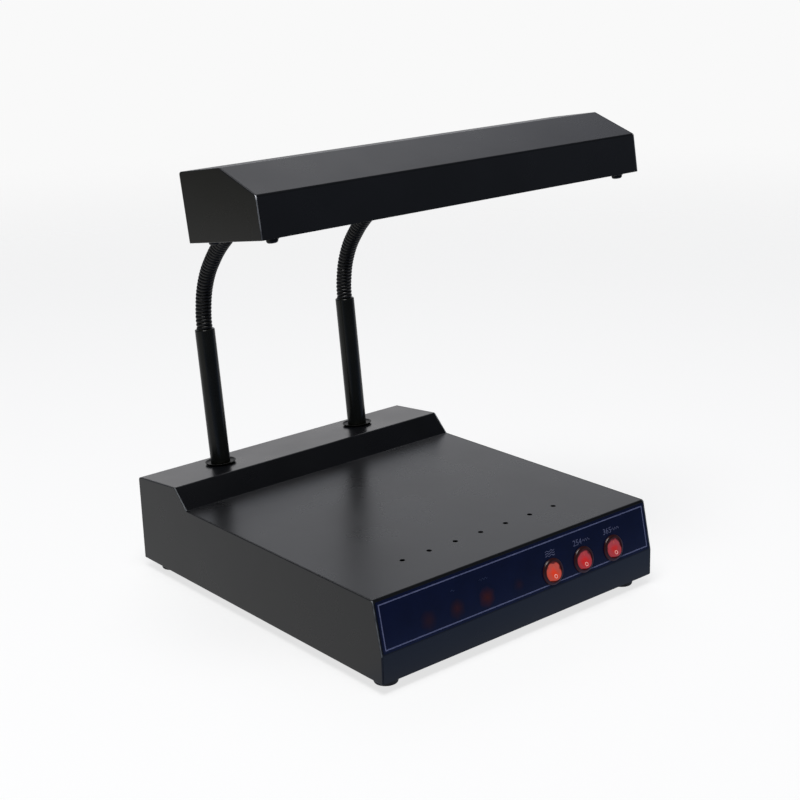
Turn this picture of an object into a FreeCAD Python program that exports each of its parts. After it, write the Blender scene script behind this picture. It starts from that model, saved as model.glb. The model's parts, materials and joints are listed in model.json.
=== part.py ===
import FreeCAD, Part
import os
from math import cos, degrees, pi, radians, sin, sqrt, tan

# Portable ultraviolet lamp: a sheet-metal base with a work surface, two posts with
# goosenecks, and a long lamp head. Millimetres, +Z up, the front faces -Y, and the
# origin is on the floor under the middle of the base.

V = FreeCAD.Vector
AXIS_X = V(1, 0, 0)
AXIS_Y = V(0, 1, 0)
AXIS_Z = V(0, 0, 1)

# Rounds that are drawn with flats, from the largest to the smallest
round_sides = 20
medium_sides = 12
small_sides = 8

# Base housing
base_width = 270.0
base_depth = 306.0
sheet = 1.2
fold_radius = 2.2
skirt_height = 21.0
surface_height = 59.5
panel_lean = 12.0
back_height = 69.5
ledge_depth = 54.0
ledge_fall = 5.4
ledge_slope = 45.0
flange_width = 10.0
floor_gap = 0.3

# Feet and the screws of the base
foot_height = 8.0
foot_top_radius = 10.0
foot_base_radius = 8.6
foot_inset = 16.0
foot_recess_radius = 5.0
foot_recess_depth = 4.0
foot_screw_radius = 2.0
foot_screw_head_radius = 3.7
foot_screw_head_height = 2.4
foot_screw_end = 6.5
foot_nut_width = 7.0
foot_nut_height = 3.2
base_screw_radius = 1.5
base_screw_head_radius = 3.0
base_screw_head_height = 2.0
base_screw_rows = 2
screw_clearance = 0.2

# Vents in the floor and the back wall
vent_width = 3.0
vent_length = 40.0
vent_pitch = 8.0
vent_count = 7
floor_vent_setback = 120.0
back_vent_inset = 75.0
back_vent_height = 36.0

# Row of air holes in the work surface
air_hole_radius = 2.0
air_hole_pitch = 25.2
air_hole_count = 7
air_hole_setback = 47.2

# Front label and the switches
label_thickness = 0.3
label_margin = 0.8
label_side_margin = 2.0
switch_height = 12.3
switch_inset = 40.7
switch_pitch = 32.3
switch_count = 3
bezel_radius = 9.3
bezel_height = 2.0
switch_body_radius = 8.1
switch_body_depth = 18.0
switch_hole_clearance = 0.2
rocker_radius = 7.0
rocker_gap = 0.6
rocker_pivot_depth = 0.5
rocker_valley = 2.5
rocker_face_angle = 10.0
rocker_throw = 20.0
rocker_skirt = 3.0
trunnion_radius = 1.2
trunnion_clearance = 0.05
terminal_width = 4.8
terminal_thickness = 0.8
terminal_length = 8.0
terminal_spacing = 5.6

# Posts
post_spacing = 142.5
post_inset = 23.5
post_radius = 8.0
post_bore_radius = 6.5
post_wire_radius = 5.0
post_length = 112.0
post_thread_radius = 6.9
post_thread_length = 14.0
ring_radius = 12.6
ring_thickness = 1.0
ring_rim = 2.2
post_nut_width = 20.0
post_nut_height = 5.0

# Goosenecks
neck_radius = 6.25
neck_groove = 0.75
neck_turning = 43.0
neck_reach = 153.0
neck_rise = 106.8
neck_links = 7
link_length = 27.0
link_ribs = 3
neck_sides = 14
link_gap = 0.76
neck_in_post = 18.0
neck_in_collar = 5.0
neck_shoulder = 1.0
collar_radius = 10.0
collar_length = 9.0
collar_thread_radius = 8.0
collar_thread_length = 8.0
collar_clearance = 0.3
collar_nut_width = 22.0
collar_nut_height = 4.0
neck_entry = 24.0

# Lamp head, in its own frame: y = 0 at the back wall, z = 0 at the underside
head_depth = 86.0
head_back_height = 48.0
head_front_height = 28.5
head_top_depth = 48.5
head_tilt = 9.0
head_end_room = 14.05
head_flange_width = 24.0
head_screw_inset = 14.0
head_screw_setback = 9.0
head_screw_radius = 2.0
head_screw_head_radius = 4.0
head_screw_head_height = 2.6
head_washer_radius = 4.8
head_washer_height = 0.8
head_screw_end = 4.5

# Filter window in the head's bottom frame
window_length = 206.0
window_depth = 52.0
window_seat = 5.0
gasket_thickness = 1.0
filter_thickness = 5.0
retainer_thickness = 1.0
retainer_clearance = 0.5

# Tubes, holders and reflector
tube_radius = 7.95
tube_length = 288.3
tube_spacing = 28.0
tube_height = 17.5
cap_length = 12.0
cap_wall = 0.3
glass_wall = 0.8
pin_radius = 1.2
pin_length = 7.1
pin_spacing = 4.75
holder_clearance = 0.4
holder_length = 14.0
holder_width = 22.0
holder_slot = 3.2
holder_roof = 7.0
bracket_thickness = 1.2
bracket_foot = 8.0
bracket_width = 58.0
reflector_thickness = 0.8
reflector_top_height = 29.0
reflector_top_depth = 40.0
reflector_length = 250.0

# Mains inlet in the back wall
inlet_inset = 50.0
inlet_height = 34.0
inlet_flange_width = 50.0
inlet_flange_height = 24.0
inlet_flange_thickness = 1.5
inlet_body_width = 27.0
inlet_body_height = 19.6
inlet_body_depth = 20.0
inlet_socket_width = 24.0
inlet_socket_height = 16.6
inlet_socket_depth = 16.0
inlet_corner = 4.0
inlet_cut_clearance = 0.3
inlet_pin_spread = 14.0
inlet_pin_width = 2.0
inlet_pin_height = 4.0
inlet_pin_length = 14.0
inlet_pin_clearance = 0.05
inlet_earth_rise = 4.0
inlet_line_drop = 2.0
inlet_tail = 7.0
inlet_screw_spacing = 40.0
inlet_screw_radius = 1.5
inlet_screw_head_radius = 2.9
inlet_screw_head_height = 1.8
inlet_screw_end = 5.0

# Air duct, heater and fan under the work surface
duct_length = 180.0
duct_depth = 32.0
duct_height = 44.0
duct_setback = 37.0
duct_sheet = 1.0
fan_size = 40.0
fan_depth = 10.0
fan_bore_radius = 18.5
fan_blade_radius = 17.7
fan_hub_radius = 8.0
fan_hub_depth = 7.0
fan_blades = 7
fan_blade_pitch = 35.0
fan_blade_thickness = 0.9
fan_blade_chord = 8.0
fan_shaft_radius = 1.0
fan_bearing_clearance = 0.05
fan_motor_depth = 1.5
fan_strut_width = 2.5
fan_face_gap = 0.4
heater_frame_depth = 5.0
heater_frame_wall = 4.0
heater_coil_radius = 2.0
heater_coil_count = 4

# Ballasts and terminal block on the floor
ballast_length = 92.0
ballast_width = 40.0
ballast_height = 24.0
ballast_spread = 62.0
ballast_inset = 101.0
ballast_ear = 8.0
ballast_ear_thickness = 2.0
ballast_spacer = 4.0
ballast_spacer_radius = 3.5
ballast_screw_radius = 1.5
ballast_screw_head_radius = 2.8
ballast_screw_head_height = 1.8
terminal_block_poles = 6
terminal_pole_width = 8.0
terminal_block_depth = 16.0
terminal_block_height = 14.0
terminal_step = 4.6
terminal_rib = 2.0
terminal_block_inset = 44.0

# Places that follow from the sizes
front_y = -base_depth / 2
back_y = base_depth / 2
floor_z = foot_height
surface_z = floor_z + surface_height
panel_top_y = front_y + (surface_height - skirt_height) * tan(radians(panel_lean))
panel_length = (surface_height - skirt_height) / cos(radians(panel_lean))
ledge_top_y = back_y - ledge_depth
ledge_top_z = floor_z + back_height + ledge_depth * tan(radians(ledge_fall))
ledge_foot_y = ledge_top_y - (ledge_top_z - surface_z) / tan(radians(ledge_slope))
inner_half_width = base_width / 2 - sheet
post_y = back_y - post_inset
post_z = floor_z + back_height + (back_y - post_y) * tan(radians(ledge_fall))
post_x = [-post_spacing / 2, post_spacing / 2]
frame_top = sheet
inlet_x = base_width / 2 - inlet_inset
switch_last_x = base_width / 2 - switch_inset
switch_x = [switch_last_x - i * switch_pitch for i in reversed(range(switch_count))]
fan_y = front_y + duct_setback + duct_depth
fan_z = surface_z - sheet - duct_height / 2

panel_frame = FreeCAD.Placement(
    V(0, front_y, floor_z + skirt_height), FreeCAD.Rotation(AXIS_X, 90 - panel_lean)
)
post_frame = FreeCAD.Placement(V(0, post_y, post_z), FreeCAD.Rotation(AXIS_X, -ledge_fall))
neck_start = post_frame.multVec(V(0, 0, post_length))
head_place = neck_start + V(0, -neck_reach, neck_rise)
head_frame = FreeCAD.Placement(head_place, FreeCAD.Rotation(AXIS_X, -head_tilt))


# Shared building steps


def block(x0, x1, y0, y1, z0, z1):
    """A box between two corners."""
    return Part.makeBox(x1 - x0, y1 - y0, z1 - z0, V(x0, y0, z0))


def rod(radius, start, end):
    """A round rod from one point to another."""
    axis = end - start
    return Part.makeCylinder(radius, axis.Length, start, axis)


def prism(sides, radius, start, end):
    """A rod with flat sides, its corners at the radius: for small rounds."""
    return frustum(sides, radius, radius, start, end)


def frustum(sides, low_radius, top_radius, start, end):
    """A tapered rod with flat sides, its corners at the two radii."""
    axis = end - start
    turns = [2 * pi * i / sides for i in range(sides)]
    low = [V(low_radius * cos(a), low_radius * sin(a), 0) for a in turns]
    top = [V(top_radius * cos(a), top_radius * sin(a), axis.Length) for a in turns]
    loops = [[low[i - 1], low[i], top[i], top[i - 1]] for i in range(sides)]
    solid = faceted([low, top] + loops)
    solid.Placement = FreeCAD.Placement(start, FreeCAD.Rotation(AXIS_Z, axis))
    return solid


def faceted(loops):
    """The solid inside flat faces, each given by its corners."""
    faces = [Part.Face(Part.makePolygon(loop + loop[:1])) for loop in loops]
    return Part.Solid(Part.Shell(faces))


def skinned(rings):
    """A loft through rings with as many corners each, in flat triangles."""
    loops = [rings[0], rings[-1]]
    for low, top in zip(rings, rings[1:]):
        for i in range(len(low)):
            loops.append([low[i - 1], low[i], top[i]])
            loops.append([low[i - 1], top[i], top[i - 1]])
    return faceted(loops)


def bore(sides, radius, start, end):
    """The cutter of a hole with flat sides that clears a shank of the radius."""
    return prism(sides, radius / cos(pi / sides), start, end)


def hex_nut(width, height, hole, origin, axis):
    """A hexagonal nut, its flats width apart, standing on the origin along the axis."""
    top = origin + axis * height
    return bore(6, width / 2, origin, top).cut(bore(small_sides, hole, origin, top))


def outline(points, radii):
    """A closed outline in the Y-Z plane, with tangent arcs at its corners."""
    corners = [V(0, y, z) for y, z in points]
    count = len(corners)
    stops = []
    for i, corner in enumerate(corners):
        before = (corners[i - 1] - corner).normalize()
        after = (corners[(i + 1) % count] - corner).normalize()
        half = before.getAngle(after) / 2
        reach = radii[i] / tan(half)
        middle = (before + after).normalize() * (radii[i] / sin(half) - radii[i])
        stops.append((corner + before * reach, corner + middle, corner + after * reach))
    edges = []
    for i, (first, middle, last) in enumerate(stops):
        if radii[i] > 0:
            edges.append(Part.Arc(first, middle, last).toShape())
        edges.append(Part.makeLine(last, stops[(i + 1) % count][0]))
    return Part.Wire(edges)


def inset(points, walls):
    """The corners left when each side of a closed outline moves inwards by its wall.

    Side i runs from point i to the next, and the outline runs anticlockwise seen
    along -X, so inwards is to the left of each side.
    """
    count = len(points)
    lines = []
    for i, (y, z) in enumerate(points):
        ahead = points[(i + 1) % count]
        run = sqrt((ahead[0] - y) ** 2 + (ahead[1] - z) ** 2)
        along = ((ahead[0] - y) / run, (ahead[1] - z) / run)
        lines.append((y - along[1] * walls[i], z + along[0] * walls[i], along))
    corners = []
    for i, (y, z, along) in enumerate(lines):
        y0, z0, before = lines[i - 1]
        turn = before[0] * along[1] - before[1] * along[0]
        step = ((y - y0) * along[1] - (z - z0) * along[0]) / turn
        corners.append((y0 + before[0] * step, z0 + before[1] * step))
    return corners


def slab(points, radii, x0, x1):
    """An outline in the Y-Z plane, drawn out along X."""
    face = Part.Face(outline(points, radii))
    face.translate(V(x0, 0, 0))
    return face.extrude(V(x1 - x0, 0, 0))


def placed(shape, placement):
    """The shape moved from a local frame to the lamp's frame."""
    moved = shape.copy()
    moved.Placement = placement.multiply(moved.Placement)
    return moved


def group(solids):
    """Separate solids kept in one sub-part."""
    return Part.makeCompound(solids)


# Base housing

base_points = [
    (front_y, floor_z),
    (back_y, floor_z),
    (back_y, floor_z + back_height),
    (ledge_top_y, ledge_top_z),
    (ledge_foot_y, surface_z),
    (panel_top_y, surface_z),
    (front_y, floor_z + skirt_height),
]
base_radii = [0, 0, fold_radius, fold_radius, fold_radius - sheet, fold_radius, fold_radius]
base_inner_radii = [0, 0, fold_radius - sheet, fold_radius - sheet, fold_radius]
base_inner_radii += [fold_radius - sheet, fold_radius - sheet]


def base_shell():
    """The folded wrapper: skirt, panel, work surface, ledge and back wall."""
    inner = inset(base_points, [0] + [sheet] * 6)
    shell = slab(base_points, base_radii, -inner_half_width, inner_half_width)
    shell = shell.cut(slab(inner, base_inner_radii, -inner_half_width, inner_half_width))
    cuts = [air_hole(x) for x in air_hole_places()]
    cuts += [switch_cut(x) for x in switch_x]
    cuts += [placed(post_hole(x), post_frame) for x in post_x]
    cuts.append(inlet_cut())
    cuts += back_vents()
    return shell.cut(cuts)


def air_hole_places():
    """The X places of the air holes, even about the middle."""
    first = -(air_hole_count - 1) / 2 * air_hole_pitch
    return [first + i * air_hole_pitch for i in range(air_hole_count)]


def air_hole(x):
    low = V(x, front_y + air_hole_setback, surface_z - 2 * sheet)
    return bore(medium_sides, air_hole_radius, low, low + AXIS_Z * 3 * sheet)


def switch_cut(x):
    """The round cut-out of a switch through the panel and the label."""
    radius = switch_body_radius + switch_hole_clearance
    low = V(x, switch_height, -2 * sheet)
    high = V(x, switch_height, label_thickness + sheet)
    return placed(bore(medium_sides, radius, low, high), panel_frame)


def post_hole(x):
    radius = post_thread_radius + screw_clearance
    return bore(medium_sides, radius, V(x, 0, -2 * sheet), V(x, 0, sheet))


def inlet_cut():
    """The cut-out of the mains inlet, with the two holes of its screws."""
    half_width = inlet_body_width / 2 + inlet_cut_clearance
    half_height = inlet_body_height / 2 + inlet_cut_clearance
    z = floor_z + inlet_height
    cut = block(
        inlet_x - half_width, inlet_x + half_width,
        back_y - 2 * sheet, back_y + sheet,
        z - half_height, z + half_height,
    )
    for side in (-1, 1):
        x = inlet_x + side * inlet_screw_spacing / 2
        radius = inlet_screw_radius + screw_clearance
        cut = cut.fuse(bore(small_sides, radius, V(x, back_y - 2 * sheet, z), V(x, back_y + sheet, z)))
    return cut


def back_vents():
    """Upright slots in the back wall."""
    middle = back_vent_inset - base_width / 2
    z = floor_z + back_vent_height
    slots = []
    for i in range(vent_count):
        x = middle + (i - (vent_count - 1) / 2) * vent_pitch
        slots.append(block(
            x - vent_width / 2, x + vent_width / 2,
            back_y - 2 * sheet, back_y + sheet,
            z - vent_length / 2, z + vent_length / 2,
        ))
    return slots


def side_plate(side):
    """A side plate with the flange that the floor is screwed to."""
    outer = side * base_width / 2
    inner = side * inner_half_width
    plate = slab(base_points, base_radii, min(outer, inner), max(outer, inner))
    edge = side * (inner_half_width - flange_width)
    flange = block(
        min(inner, edge), max(inner, edge),
        front_y + 2 * sheet, back_y - 2 * sheet,
        floor_z + sheet, floor_z + 2 * sheet,
    )
    holes = [base_screw_hole(x, y) for x, y in base_screw_places() if x * side > 0]
    return plate.fuse(flange).removeSplitter().cut(holes)


def base_screw_places():
    """The places of the floor's screws along both flanges."""
    x = inner_half_width - flange_width / 2
    step = base_depth / (base_screw_rows + 1)
    rows = [front_y + step * (i + 1) for i in range(base_screw_rows)]
    return [(side * x, y) for side in (-1, 1) for y in rows]


def base_screw_hole(x, y):
    radius = base_screw_radius + screw_clearance
    return bore(small_sides, radius, V(x, y, floor_z - sheet), V(x, y, floor_z + 4 * sheet))


def foot_places():
    x = base_width / 2 - foot_inset
    y = base_depth / 2 - foot_inset
    return [(sx * x, sy * y) for sx in (-1, 1) for sy in (-1, 1)]


def bottom_plate():
    """The flat floor inside the walls, with vent slots."""
    half = inner_half_width - floor_gap
    plate = block(
        -half, half,
        front_y + sheet + floor_gap, back_y - sheet - floor_gap,
        floor_z, floor_z + sheet,
    )
    radius = foot_screw_radius + screw_clearance
    top = V(0, 0, floor_z + 2 * sheet)
    lows = [V(x, y, 0) for x, y in foot_places()]
    cuts = [bore(small_sides, radius, low, low + top) for low in lows]
    cuts += [base_screw_hole(x, y) for x, y in base_screw_places()]
    y = front_y + floor_vent_setback
    for i in range(vent_count):
        x = (i - (vent_count - 1) / 2) * vent_pitch
        cuts.append(block(
            x - vent_width / 2, x + vent_width / 2,
            y - vent_length / 2, y + vent_length / 2,
            floor_z - sheet, floor_z + 2 * sheet,
        ))
    return plate.cut(cuts)


def rubber_feet():
    """Four round feet, recessed for their screws."""
    feet = []
    for x, y in foot_places():
        low, top = V(x, y, 0), V(x, y, foot_height)
        recess = bore(medium_sides, foot_recess_radius, low, V(x, y, foot_recess_depth))
        hole = bore(small_sides, foot_screw_radius + screw_clearance, low, top)
        foot = frustum(round_sides, foot_base_radius, foot_top_radius, low, top)
        feet.append(foot.cut([recess, hole]))
    return group(feet)


def screw(head_radius, head_height, radius, length, origin, axis):
    """A screw with its head behind the origin and its shank ahead."""
    head = prism(small_sides, head_radius, origin - axis * head_height, origin)
    return head.fuse(prism(small_sides, radius, origin, origin + axis * length)).removeSplitter()


def foot_screws():
    length = foot_height - foot_recess_depth + foot_screw_end
    sizes = (foot_screw_head_radius, foot_screw_head_height, foot_screw_radius, length)
    places = [V(x, y, foot_recess_depth) for x, y in foot_places()]
    return group([screw(*sizes, place, AXIS_Z) for place in places])


def foot_nuts():
    places = [V(x, y, floor_z + sheet) for x, y in foot_places()]
    sizes = (foot_nut_width, foot_nut_height, foot_screw_radius)
    return group([hex_nut(*sizes, p, AXIS_Z) for p in places])


def base_screws():
    length = 2 * sheet + base_screw_head_height
    sizes = (base_screw_head_radius, base_screw_head_height, base_screw_radius, length)
    places = [V(x, y, floor_z) for x, y in base_screw_places()]
    return group([screw(*sizes, place, AXIS_Z) for place in places])


# Front label and switches


def front_label():
    """The printed film on the leaning panel, cut out round the switches."""
    film = block(
        -base_width / 2 + label_side_margin, base_width / 2 - label_side_margin,
        label_margin + fold_radius * tan(radians(panel_lean) / 2),
        panel_length - label_margin - fold_radius / 2,
        0, label_thickness,
    )
    return placed(film, panel_frame).cut([switch_cut(x) for x in switch_x])


def switch_housing(x):
    """A round bezel with its body behind the panel, bored for the rocker."""
    middle = V(x, switch_height, 0)
    low = middle - AXIS_Z * switch_body_depth
    seat = middle + AXIS_Z * label_thickness
    top = seat + AXIS_Z * bezel_height
    housing = prism(round_sides, bezel_radius, seat, top)
    housing = housing.fuse(bore(medium_sides, switch_body_radius, low, seat))
    tilt = radians(rocker_throw / 2)
    swept = rocker_skirt * cos(tilt) + rocker_radius * sin(tilt)
    well = middle - AXIS_Z * (rocker_pivot_depth + swept + rocker_gap)
    housing = housing.cut(bore(round_sides, rocker_radius + rocker_gap, well, top))
    pivot = rocker_pivot(x)
    reach = V(bezel_radius, 0, 0)
    hole = bore(small_sides, trunnion_radius + trunnion_clearance, pivot - reach, pivot + reach)
    return placed(housing.cut(hole), panel_frame)


def rocker_pivot(x):
    """The rocker's axis in the panel's frame."""
    return V(x, switch_height, -rocker_pivot_depth)


def rocker(x):
    """A round rocker with two sloping faces, pressed in at its upper side."""
    pivot = rocker_pivot(x)
    skirt = AXIS_Z * rocker_skirt
    body = prism(round_sides, rocker_radius, pivot - skirt, pivot + 2 * skirt)
    body = body.cut([rocker_face(pivot, side) for side in (-1, 1)])
    reach = V(switch_body_radius - trunnion_clearance, 0, 0)
    body = body.fuse(prism(small_sides, trunnion_radius, pivot - reach, pivot + reach)).removeSplitter()
    body.rotate(pivot, AXIS_X, -rocker_throw / 2)
    return placed(body, panel_frame)


def rocker_face(pivot, side):
    """What is cut away over one sloping face of a rocker."""
    size = 3 * rocker_radius
    y0 = 0 if side > 0 else -size
    cutter = block(-size, size, y0, y0 + size, 0, size)
    cutter.rotate(V(0, 0, 0), AXIS_X, side * rocker_face_angle)
    cutter.translate(pivot + V(0, 0, rocker_valley))
    return cutter


def switch_terminals():
    """Spade blades behind the switch bodies."""
    blades = []
    for x in switch_x:
        for row in (-1, 0, 1):
            y = switch_height + row * terminal_spacing
            blades.append(placed(block(
                x - terminal_width / 2, x + terminal_width / 2,
                y - terminal_thickness / 2, y + terminal_thickness / 2,
                -switch_body_depth - terminal_length, -switch_body_depth,
            ), panel_frame))
    return group(blades)


# Posts


def post(x):
    """A post: a tube with a thread below the ledge, wider inside where the neck sits."""
    low, foot = V(x, 0, -post_thread_length), V(x, 0, ring_thickness)
    seat, top = V(x, 0, post_length - neck_in_post), V(x, 0, post_length)
    tube = rod(post_radius, foot, top).fuse(prism(round_sides, post_thread_radius, low, foot))
    wire_way = bore(medium_sides, post_wire_radius, low, seat)
    return placed(tube.cut([wire_way, bore(round_sides, post_bore_radius, seat, top)]), post_frame)


def post_rings():
    """Thin washers with a raised rim at the feet of the posts."""
    rings = []
    for x in post_x:
        low, top = V(x, 0, 0), V(x, 0, ring_rim)
        dish = frustum(round_sides, ring_radius - ring_rim, ring_radius, low, top)
        well = V(x, 0, ring_thickness)
        dish = dish.cut(bore(round_sides, ring_radius - 2 * ring_thickness, well, top))
        hole = bore(round_sides, post_thread_radius + screw_clearance, low, top)
        rings.append(placed(dish.cut(hole), post_frame))
    return group(rings)


def post_nuts():
    sizes = (post_nut_width, post_nut_height, post_thread_radius)
    nuts = [hex_nut(*sizes, V(x, 0, -sheet), -AXIS_Z) for x in post_x]
    return group([placed(nut, post_frame) for nut in nuts])


# Goosenecks

neck_angles = [radians(-ledge_fall), radians(neck_turning), radians(90 - head_tilt)]
neck_end = head_frame.multVec(V(0, 0, neck_entry))


def neck_bend_radii():
    """Radii of the two tangent arcs that join the posts to the head's back wall.

    An arc of radius R from angle a to angle b, both measured from upright towards the
    front, runs R (cos b - cos a) along Y and R (sin b - sin a) along Z.
    """
    a, b, c = neck_angles
    run = neck_end - neck_start
    y1, y2 = cos(b) - cos(a), cos(c) - cos(b)
    z1, z2 = sin(b) - sin(a), sin(c) - sin(b)
    whole = y1 * z2 - y2 * z1
    return (run.y * z2 - y2 * run.z) / whole, (y1 * run.z - z1 * run.y) / whole


neck_radii = neck_bend_radii()
neck_arcs = [neck_radii[i] * (neck_angles[i + 1] - neck_angles[i]) for i in (0, 1)]
neck_length = sum(neck_arcs)
neck_stub = (neck_length - neck_links * link_length) / 2


def neck_place(s):
    """The point at a distance s along the neck's line, and the line's lean there."""
    point, lean = neck_start, neck_angles[0]
    if s < 0:
        return point + V(0, -sin(lean), cos(lean)) * s, lean
    for arc, radius in zip(neck_arcs, neck_radii):
        turn = min(s, arc) / radius
        point = point + V(0, cos(lean + turn) - cos(lean), sin(lean + turn) - sin(lean)) * radius
        lean += turn
        s -= min(s, arc)
    return point + V(0, -sin(lean), cos(lean)) * s, lean


def neck_ring(x, s, radius):
    """A ring of short sides, square to the neck's line."""
    point, lean = neck_place(s)
    across = V(0, cos(lean), sin(lean))
    turns = [2 * pi * (i + 0.5) / neck_sides for i in range(neck_sides)]
    return [point + V(x, 0, 0) + (AXIS_X * cos(a) + across * sin(a)) * radius for a in turns]


def ribbed(x, start, end, ribs):
    """The rings of a ribbed length of neck, in order from its start to its end."""
    groove = neck_radius - neck_groove
    pitch = (end - start) / ribs
    rings = [neck_ring(x, start, groove)]
    for i in range(ribs):
        rings.append(neck_ring(x, start + (i + 0.5) * pitch, neck_radius))
        rings.append(neck_ring(x, start + (i + 1) * pitch, groove))
    return rings


def joint_distance(k):
    """The distance of bend k along the neck, from 0 at the posts."""
    return neck_stub + k * link_length


def neck_link(k):
    """Link k of both necks, between two bends."""
    start = joint_distance(k) + link_gap / 2
    end = joint_distance(k + 1) - link_gap / 2
    return group([skinned(ribbed(x, start, end, link_ribs)) for x in post_x])


def neck_roots():
    """The neck's first turns, clamped in the posts."""
    groove = neck_radius - neck_groove
    end = joint_distance(0) - link_gap / 2
    solids = []
    for x in post_x:
        rings = [neck_ring(x, -neck_in_post, neck_radius), neck_ring(x, neck_shoulder, neck_radius)]
        rings += ribbed(x, 2 * neck_shoulder, end, 1)
        solids.append(skinned(rings))
    return group(solids)


def neck_tips():
    """The neck's last turns, clamped in the collars."""
    start = joint_distance(neck_links) + link_gap / 2
    solids = []
    for x in post_x:
        rings = [neck_ring(x, start, neck_radius - neck_groove)]
        rings.append(neck_ring(x, start + neck_shoulder, neck_radius))
        rings.append(neck_ring(x, neck_length + neck_in_collar, neck_radius))
        solids.append(skinned(rings))
    return group(solids)


def neck_collars():
    """Hexagonal collars that hold the necks in the head's back wall."""
    collars = []
    for x in post_x:
        face = V(x, collar_length, neck_entry)
        wall = V(x, 0, neck_entry)
        end = V(x, -collar_thread_length, neck_entry)
        thread = prism(round_sides, collar_thread_radius, wall, end)
        collar = bore(6, collar_radius, face, wall).fuse(thread)
        stop = V(x, -neck_in_collar, neck_entry)
        socket = bore(round_sides, neck_radius + collar_clearance, face, stop)
        collars.append(placed(collar.cut(socket), head_frame))
    return group(collars)


def collar_nuts():
    sizes = (collar_nut_width, collar_nut_height, collar_thread_radius)
    nuts = [hex_nut(*sizes, V(x, -sheet, neck_entry), -AXIS_Y) for x in post_x]
    return group([placed(nut, head_frame) for nut in nuts])


# Lamp head

tube_half = tube_length / 2
holder_outer = tube_half + holder_clearance + holder_length
head_half = holder_outer + bracket_thickness + head_end_room + sheet

head_points = [
    (-head_depth, 0),
    (0, 0),
    (0, head_back_height),
    (-head_top_depth, head_back_height),
    (-head_depth, head_front_height),
]
head_radii = [0, 0, fold_radius, fold_radius, fold_radius]


def head_shell():
    """The folded hood: back wall, top, sloping front and front wall."""
    half = head_half - sheet
    inner_radii = [0, 0] + [fold_radius - sheet] * 3
    shell = slab(head_points, head_radii, -half, half)
    shell = shell.cut(slab(inset(head_points, [0] + [sheet] * 4), inner_radii, -half, half))
    return placed(shell.cut([collar_hole(x) for x in post_x]), head_frame)


def collar_hole(x):
    """The hole of a neck's collar in the head's back wall."""
    radius = collar_thread_radius + screw_clearance
    return bore(medium_sides, radius, V(x, -2 * sheet, neck_entry), V(x, sheet, neck_entry))


def head_end(side):
    """An end plate with the flange that the bottom frame is screwed to."""
    outer = side * head_half
    inner = side * (head_half - sheet)
    plate = slab(head_points, head_radii, min(outer, inner), max(outer, inner))
    edge = inner - side * head_flange_width
    flange = block(
        min(inner, edge), max(inner, edge),
        -head_depth + 2 * sheet, -2 * sheet,
        frame_top, frame_top + sheet,
    )
    holes = [head_screw_hole(x, y) for x, y in head_screw_places() if x * side > 0]
    return placed(plate.fuse(flange).removeSplitter().cut(holes), head_frame)


def head_screw_places():
    x = head_half - head_screw_inset
    rows = (-head_screw_setback, -head_depth + head_screw_setback)
    return [(side * x, y) for side in (-1, 1) for y in rows]


def head_screw_hole(x, y):
    radius = head_screw_radius + screw_clearance
    return bore(small_sides, radius, V(x, y, -sheet), V(x, y, 4 * sheet))


def head_screws():
    """Screws with captive washers under the head."""
    solids = []
    for x, y in head_screw_places():
        seat = V(x, y, 0)
        face = V(x, y, -head_washer_height)
        length = head_washer_height + head_screw_end
        sizes = (head_screw_head_radius, head_screw_head_height, head_screw_radius, length)
        bolt = screw(*sizes, face, AXIS_Z).fuse(prism(medium_sides, head_washer_radius, face, seat))
        solids.append(placed(bolt.removeSplitter(), head_frame))
    return group(solids)


def rectangle(grow, z0, z1):
    """A block centred under the tubes, larger than the window by grow on each side."""
    half = window_length / 2 + grow
    middle = -head_depth / 2
    reach = window_depth / 2 + grow
    return block(-half, half, middle - reach, middle + reach, z0, z1)


def filter_frame():
    """The head's bottom frame, with the long window."""
    half = head_half - sheet - floor_gap
    plate = block(
        -half, half,
        -head_depth + sheet + floor_gap, -sheet - floor_gap,
        0, frame_top,
    )
    holes = [head_screw_hole(x, y) for x, y in head_screw_places()]
    return placed(plate.cut(holes + [rectangle(0, -sheet, 2 * sheet)]), head_frame)


gasket_top = frame_top + gasket_thickness
filter_top = gasket_top + filter_thickness


def filter_gasket():
    ring = rectangle(window_seat, frame_top, gasket_top)
    return placed(ring.cut(rectangle(0, frame_top, gasket_top)), head_frame)


def filter_glass():
    return placed(rectangle(window_seat, gasket_top, filter_top), head_frame)


def filter_retainer():
    """A folded frame that holds the glass down from inside."""
    grow = window_seat + retainer_clearance
    top = filter_top + retainer_thickness
    cover = rectangle(grow + retainer_thickness, frame_top, top)
    cover = cover.cut(rectangle(grow, frame_top, filter_top))
    return placed(cover.cut(rectangle(0, filter_top, top)), head_frame)


def reflector():
    """A folded trough over the tubes, standing on the retainer."""
    middle = -head_depth / 2
    low = filter_top + retainer_thickness
    lip = window_depth / 2 + window_seat
    top = reflector_top_depth / 2
    outer = [
        (middle - lip, low),
        (middle + lip, low),
        (middle + top, reflector_top_height),
        (middle - top, reflector_top_height),
    ]
    inner = inset(outer, [0] + [reflector_thickness] * 3)
    half = reflector_length / 2
    trough = slab(outer, [0] * 4, -half, half).cut(slab(inner, [0] * 4, -half, half))
    return placed(trough, head_frame)


# Tubes

tube_y = [-head_depth / 2 + side * tube_spacing / 2 for side in (1, -1)]


def tube_glass(y):
    """The glass of one tube, between its caps."""
    reach = V(tube_half - cap_length, 0, 0)
    start, end = V(0, y, tube_height) - reach, V(0, y, tube_height) + reach
    radius = tube_radius - cap_wall
    glass = prism(round_sides, radius, start, end)
    return placed(glass.cut(prism(round_sides, radius - glass_wall, start, end)), head_frame)


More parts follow.
